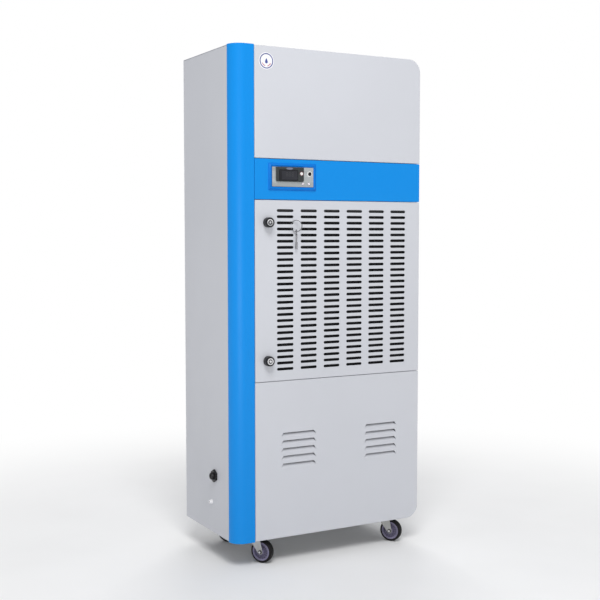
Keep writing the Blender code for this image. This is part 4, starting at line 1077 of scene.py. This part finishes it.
def make_lock(lock):
    """A round black knob over the barrel, its bright ring and plug, the nut behind and the cam."""
    x, z = centre = centre_of(lock + "_barrel")
    front, back = (corner.y for corner in cad(lock + "_barrel"))
    wall, outer, bore = -0.0003, 0.0160, 0.0071
    knob = [
        (wall, 0.0148), (-0.0025, outer), (front + 0.0030, outer), (front, 0.0142), (front, 0.0115),
        (front + 0.0030, 0.0112), (front + 0.0030, bore), (back, bore), (back, 0.0092), (wall, 0.0092),
    ]
    piece(lock + "_knob", turned(knob, "y", centre, 48, True, 0.0010), BLACK, lock + "_barrel", "door")
    nut = hexagon(centre, "y", SHEET + 0.0003, 0.0060, 0.0242)
    piece(lock + "_nut", nut, FORK_ZINC, body="door")

    cam_low, cam_high = cad(lock + "_cam")
    ring = raised(front, ((0.0006, 0.0070), (0.0004, 0.0107), (0.0026, 0.0109), (0.0026, 0.0068)))
    head = raised(front, ((0.0006, 0.0038), (0.0006, 0.0040), (0.0030, 0.0042)))
    slit = 0.0006
    keyway = block((x - 0.0030, front - 0.001, z - slit), (x + 0.0012, front + 0.0022, z + slit), 0.0001)
    shapes = [
        turned(ring, "y", centre, 48, True, 0.0004),
        rod("y", centre, 0.0066, front + 0.0028, cam_high.y, 28),
        minus(turned(head, "y", centre, 28, soft=0.0003), keyway),
    ]
    piece(lock + "_plug", together(shapes), CHROME, lock + "_cam", lock)
    groove = sleeve("y", centre, 0.0042, 0.0070, front + 0.0018, front + 0.0027, 40)
    piece(lock + "_groove", groove, BLACK, body=lock)
    half = 0.008
    cam = plate(
        (x - half, cam_low.z, x + half, z + half), 0.0075, "y", CAM_FRONT, CAM_FRONT + 0.0022, 0.0004, 6,
    )
    bolt = hexagon(centre, "y", CAM_FRONT + 0.0021, cam_high.y, 0.010)
    piece(lock + "_tongue", together((cam, bolt)), FORK_ZINC, body=lock)


def make_keys():
    """A split ring of two turns through the door's web, and the key with a ring bow that hangs on it."""
    outward = Vector((math.cos(RING_YAW), math.sin(RING_YAW), 0.0))
    up = Vector((0.0, 0.0, 1.0))
    side = outward.cross(up)
    pivot = Vector((RING_X, SHEET / 2, TOP_SLOT_Z - 2.5 * SLOT_ROW_PITCH))
    centre = pivot + outward * RING_OFFSET
    steps = 144
    half_pitch = 0.0010
    route = []
    for step in range(steps + 1):
        angle = 4 * math.pi * step / steps
        twist = side * (half_pitch * math.cos(angle / 2))
        route.append(centre + twist + RING_RADIUS * (outward * math.cos(angle) + up * math.sin(angle)))
    piece("key_ring_wire", tube(route, RING_WIRE, 10), KEY_STEEL, "key_ring", "key_ring_body")

    half = 0.0009
    shank = [
        (-0.0080, 0.0019), (-0.0095, 0.0027), (-0.0115, 0.0027), (-0.0125, 0.0019), (-0.0330, 0.0019),
        (-0.0340, 0.0031), (-0.0555, 0.0032), (-0.0560, 0.0029),
    ]
    shapes = [
        sleeve("x", (0.0, -0.0012), 0.0021, 0.0082, -0.0011, 0.0011, soft=0.0004),
        turned(shank, "z", (0.0, 0.0), 24, soft=0.0006),
        block((-half, 0.0010, -0.0545), (half, 0.0050, -0.0440), 0.0003),
        block((-half, 0.0010, -0.0420), (half, 0.0042, -0.0380), 0.0003),
    ]
    to_key = Matrix.Translation(centre - up * RING_RADIUS) @ Matrix.Rotation(RING_YAW, 4, "Z")
    piece("door_key_steel", moved(together(shapes), to_key), KEY_STEEL, "door_key", "key_body")


def make_seal():
    """The door seal as a soft D section round the frame's window."""
    low, high = cad("door_seal")
    width = 0.007
    shoulder = low.y + 0.003
    section = ((0.0, high.y), (0.0, shoulder), (width / 2, low.y), (width, shoulder), (width, high.y))
    strip = moulding(outline_box("door_seal"), 0.006, "y", softened(section, 0.003), 5)
    piece("door_seal_strip", strip, RUBBER, "door_seal")


# ---- services and outlet


def make_gland():
    """The cable gland: a hexagon on the wall, a fluted cap and a rubber sleeve."""
    centre = centre_of("cable_gland", "yz")
    end = cad("cable_gland")[0].x
    flutes = 12
    steps = 72
    rings = []
    for level, radius, depth in (
        (-0.0070, 0.0122, FLUTE), (-0.0115, 0.0122, FLUTE), (end + 0.0022, 0.0112, FLUTE),
        (end + 0.0006, 0.0098, 0.0), (end, 0.0086, 0.0), (end, 0.0066, 0.0), (-0.0090, 0.0062, 0.0),
    ):
        ring = []
        for step in range(steps):
            angle = 2 * math.pi * step / steps
            reach = radius - depth * (0.5 + 0.5 * math.cos(flutes * angle))
            ring.append((level, centre[0] + reach * math.cos(angle), centre[1] + reach * math.sin(angle)))
        rings.append(ring)
    base = hexagon(centre, "x", -0.0075, 0.0, 0.0367)
    piece("cable_gland_body", together((base, loft(rings))), BLACK, "cable_gland")
    lining = sleeve("x", centre, 0.0055, 0.0068, end + 0.0010, 0.010, soft=0.0004)
    piece("cable_gland_sleeve", lining, RUBBER)


def make_spout():
    """The drain spout with two barbs and its flange."""
    end = cad("drain_spout")[0].x
    barb, neck, bore = 0.0060, 0.0054, 0.0042
    profile = [
        (end, bore), (end, 0.0049), (end + 0.0030, barb), (end + 0.0034, neck), (end + 0.0062, barb),
        (end + 0.0066, neck), (-0.0019, 0.0055), (-0.0018, 0.0084), (-0.0001, 0.0084), (-0.0001, barb),
        (0.012, barb), (0.012, bore),
    ]
    shape = turned(profile, "x", centre_of("drain_spout", "yz"), 36, True, 0.0003)
    piece("drain_spout_moulding", shape, SPOUT_WHITE, "drain_spout")


def make_outlet():
    """The outlet grille in the top: a rounded flange, slanted blades and four screws."""
    low, high = cad("outlet_grille")
    left, near, right, far = outlet_box()
    wall = 0.0025
    inner = OUTLET_FLANGE + 0.0002
    outer = OUTLET_FLANGE + wall
    under = high.z - 0.0011
    section = ((0.0, under), (0.0, high.z), (outer, high.z), (outer, low.z), (inner, low.z), (inner, under))
    rim = softened(section, 0.0004, closed=True, steps=2)
    shapes = [moulding(outline_box("outlet_grille", "xy"), 0.004, "z", rim, 4)]
    blades = 14
    overlap = 0.002
    for index in range(blades):
        y = near + wall + (index + 0.8) * (far - near - 2 * wall) / blades
        blade = (
            (y, high.z - 0.0006), (y - 0.0012, high.z - 0.0002),
            (y - 0.0075, low.z + 0.0006), (y - 0.0063, low.z + 0.0002),
        )
        blade = softened(blade, 0.0004, closed=True, steps=2)
        shapes.append(prism(blade, "x", left + overlap, right - overlap))
    half = 0.001
    for x in (left + (right - left) / 3, left + 2 * (right - left) / 3):
        shapes.append(
            block((x - half, near + overlap, low.z), (x + half, far - overlap, low.z + 0.004), 0.0003)
        )
    piece("outlet_grille_moulding", together(shapes), GREY, "outlet_grille")
    spots = [(x, y) for x in (low.x + 0.005, high.x - 0.005) for y in (low.y + 0.03, high.y - 0.03)]
    screws = [screw_head((x, y, high.z - 0.0008), "z", 0.0030, 0.0012) for x, y in spots]
    piece("outlet_grille_screws", together(screws), CHROME)


# ---- inside


def make_coil(name):
    """A fin pack: thin fins across the depth, tube rows through them and hairpin bends outside."""
    low, high = cad(name)
    margin = 0.004
    wall = 0.002
    front, back = low.y + margin, high.y - margin
    base, top = FIN_BASE, high.z - margin
    left, right = low.x + wall, high.x - wall
    pitch = 0.0034
    half = 0.0001
    fins = []
    for index in range(int((right - left) / pitch)):
        x = left + (index + 0.5) * pitch
        fins.append(prism(rectangle((x - half, front, x + half, back), steps=1), "z", base, top))
    piece(name + "_fins", together(fins), FINS, name)
    plates = [
        block((x, low.y, low.z), (x + wall, high.y, high.z), 0.0004) for x in (low.x, high.x - wall)
    ]
    piece(name + "_end_plates", together(plates), ZINC)

    radius = 0.0042
    outer = low.x - 0.002
    count = 12
    levels = [base + (top - base) * (i + 0.5) / count for i in range(count)]
    tubes = []
    for y in (front + (back - front) * share for share in (0.28, 0.72)):
        tubes += [rod("x", (y, z), radius, outer, high.x + 0.0015, 10) for z in levels]
        for z, upper in zip(levels[::2], levels[1::2]):
            bend = (upper - z) / 2
            route = [
                (outer - 0.5 * bend * math.sin(t), y, z + bend - bend * math.cos(t))
                for t in (math.pi * i / 10 for i in range(11))
            ]
            tubes.append(tube(route, radius, 10))
    piece(name + "_tubes", together(tubes), COPPER)


def make_compressor():
    """Hermetic compressor: domed shell with its weld bead, base plate, feet and accumulator."""
    low, high = cad("compressor")
    x, y = centre = (0.250, 0.215)
    radius = 0.062
    wall = radius - 0.001
    crown = high.z - 0.0005
    shell = [
        (low.z + 0.014, 0.010), (low.z + 0.014, 0.044), (low.z + 0.026, wall), (0.3500, wall),
        (0.3505, radius), (0.3600, radius), (0.3605, wall), (high.z - 0.020, radius - 0.002),
        (high.z - 0.004, 0.036), (crown, 0.010), (crown, 0.002),
    ]
    bead_root, bead_crest = radius - 0.002, radius + 0.0005
    bead = ((0.348, bead_root), (0.349, bead_crest), (0.3505, bead_crest), (0.3515, bead_root))
    foot_plate = [(px, 2 * y - py) for px, py in softened(circle(centre, 0.097, 3), 0.020, True, 5)]
    bottle = [
        (0.178, 0.004), (0.181, 0.015), (0.196, 0.026), (0.314, 0.026), (0.330, 0.013), (0.336, 0.0095),
        (0.345, 0.0095),
    ]
    bottle_x, bracket_z = 0.140, 0.205
    bracket = ((bottle_x, y, bracket_z), (0.170, y, bracket_z), (x - 0.055, y, bracket_z))
    shapes = [
        turned(shell, "z", centre, 56, soft=0.012),
        turned(bead, "z", centre, 56, True, 0.0004),
        prism(foot_plate, "z", low.z + 0.0105, low.z + 0.0150),
        turned(bottle, "z", (bottle_x, y), 36, soft=0.008),
        tube(rounded_route(bracket, 0.004), 0.0085, 16),
    ]
    piece("compressor_shell", together(shapes), ENAMEL, "compressor")
    strap = sleeve("z", (bottle_x, y), 0.0262, 0.0270, 0.262, 0.276, 36)
    piece("accumulator_strap", strap, FORK_ZINC)
    foot = raised(low.z, (
        (0.0, 0.0120), (0.0050, 0.0118), (0.0070, 0.0095), (0.0105, 0.0112), (0.0105, 0.004),
    ))
    feet = []
    for angle in (math.radians(90 + 120 * index) for index in range(3)):
        place = (x + 0.085 * math.cos(angle), y + 0.085 * math.sin(angle))
        feet.append(turned(foot, "z", place, 28, soft=0.0012))
    piece("compressor_feet", together(feet), RUBBER)


def make_blower_ring():
    """The flared rim round the blower's inlet."""
    left = cad("blower_housing")[0].x
    centre = (0.185, 1.340)
    inner = 0.0860
    ring = raised(left, ((-0.0020, inner), (-0.0040, 0.0900), (-0.0002, 0.0960), (-0.0002, inner)))
    piece("blower_inlet_ring", turned(ring, "x", centre, 56, True, 0.0012), ZINC)


# ---- castors


def make_castors():
    for row, y in zip(("front", "rear"), CASTOR_Y):
        for side, x in zip(("left", "right"), CASTOR_X):
            make_castor(row + "_" + side, x, y)


def make_castor(place, x, y):
    """Top plate with its race and bolts, the fork on its swivel, and the wheel on its axle."""
    low, high = cad(place + "_castor_plate")
    base = 0.1000
    top_plate = plate(
        outline_box(place + "_castor_plate", "xy"), 0.004, "z", base, high.z, 0.0006, 5,
    )
    race = (
        (low.z, 0.020), (low.z, 0.0235), (low.z + 0.002, 0.0245), (base + 0.0002, 0.0262),
        (base + 0.0002, 0.020),
    )
    bolts = [
        hexagon((x + a, y + b), "z", base - 0.0038, base + 0.0001, 0.0085)
        for a in (-CASTOR_BOLT, CASTOR_BOLT) for b in (-CASTOR_BOLT, CASTOR_BOLT)
    ]
    shapes = [top_plate, turned(race, "z", (x, y), 40, soft=0.0008)] + bolts
    piece(place + "_castor_top", together(shapes), FORK_ZINC, place + "_castor_plate")

    swivel = place + "_swivel"
    to_place = Matrix.Translation((x, y, 0.0)) @ Matrix.Rotation(CASTOR_YAW, 4, "Z")
    piece(place + "_fork_steel", moved(fork_shape(), to_place), FORK_ZINC, place + "_castor_fork", swivel)
    centre = (CASTOR_TRAIL, WHEEL_RADIUS)
    ends = []
    for way in (-1, 1):
        near, washer, nut = (way * (FORK_HALF + reach) for reach in (0.0, 0.0007, 0.0038))
        ends.append(hexagon(centre, "y", *sorted((near + way * 0.0002, nut)), 0.0105))
        ends.append(rod("y", centre, 0.0070, *sorted((near, washer)), 28))
    piece(place + "_axle_nuts", moved(together(ends), to_place), NUT_STEEL, body=swivel)
    reach, radius = FORK_HALF + 0.0040, 0.0034
    bolt = ((-reach, 0.0010), (-reach, radius), (reach, radius), (reach, 0.0010))
    bolt = turned(bolt, "y", centre, 20, soft=0.0006)
    piece(place + "_axle_bolt", moved(bolt, to_place), CHROME, place + "_castor_axle", swivel)

    wheel = place + "_wheel_body"
    half_tread = [(0.0065, WHEEL_RADIUS), (0.0105, 0.0360), (0.0118, 0.0320), (0.0110, 0.0295)]
    tread = [(-level, radius) for level, radius in half_tread[::-1]] + half_tread
    tyre = turned(tread, "y", centre, 64, True, 0.0025)
    piece(place + "_tyre", moved(tyre, to_place), TYRE, place + "_wheel", wheel)
    piece(place + "_hub", moved(hub_shape(centre), to_place), HUB, body=wheel)


def fork_shape():
    """The pressed fork: a crown over the race and two legs that taper to the axle."""
    boss = 0.0085
    back, front, top = -0.0190, 0.0270, 0.0870
    arc = [
        (CASTOR_TRAIL + boss * math.cos(t), WHEEL_RADIUS + boss * math.sin(t))
        for t in (math.radians(205 + 160 * i / 12) for i in range(13))
    ]
    outline = [Vector(point) for point in [(front, top), (back, top)] + arc]
    middle = Vector((0.015, 0.063))
    edge = 0.0005
    shapes = []
    for near, far in ((-FORK_HALF, -FORK_INSIDE), (FORK_INSIDE, FORK_HALF)):
        rings = []
        for inset, level in ((edge, near), (0.0, near + edge), (0.0, far - edge), (edge, far)):
            scale = 1 - inset / middle.x
            rings.append(along([middle + (point - middle) * scale for point in outline], "y", level))
        shapes.append(loft(rings))
    shapes.append(block((back, -FORK_HALF, 0.0838), (front, FORK_HALF, 0.0880), 0.0012))
    crown = ((0.0865, 0.0225), (0.0895, 0.0225), (0.0922, 0.0195), (0.0922, 0.004))
    shapes.append(turned(crown, "z", (0.0, 0.0), 40, soft=0.0012))
    return together(shapes)


def hub_shape(centre):
    """The wheel's moulded hub: rim, web, centre boss and radial ribs on both faces."""
    half = [
        (0.0116, 0.0300), (0.0112, 0.0242), (0.0030, 0.0235), (0.0030, 0.0110), (0.0128, 0.0100),
        (0.0128, 0.0044),
    ]
    profile = half + [(-level, radius) for level, radius in half[::-1]]
    shapes = [turned(profile, "y", centre, 48, True, 0.0008)]
    ribs = 16
    to_centre = Matrix.Translation((centre[0], 0.0, centre[1]))
    for index in range(ribs):
        rib = block((0.0095, -0.0082, -0.0009), (0.0250, 0.0082, 0.0009), 0.0004)
        shapes.append(moved(rib, to_centre @ Matrix.Rotation(2 * math.pi * index / ribs, 4, "Y")))
    return together(shapes)


# ---- the whole object


def dress_cad_nodes():
    """Gives every CAD node that is still shown its slot's finish; only the pipes have no sharp edges."""
    slots = {part["node"]: part["material_slot"] for part in frame["record"]["subparts"]}
    for name, node in frame["nodes"].items():
        if node.hide_render:
            continue
        node.data.materials.clear()
        node.data.materials.append(SLOT_FINISH[slots[name]])
        node.data.shade_smooth()
        if name not in PIPES:
            node.data.set_sharp_from_angle(angle=SMOOTH_ANGLE)


make_camera()
make_stage()
make_casing()
make_controls()
make_door()
make_gland()
make_spout()
make_outlet()
make_coil("evaporator")
make_coil("condenser")
make_compressor()
make_blower_ring()
make_castors()
dress_cad_nodes()
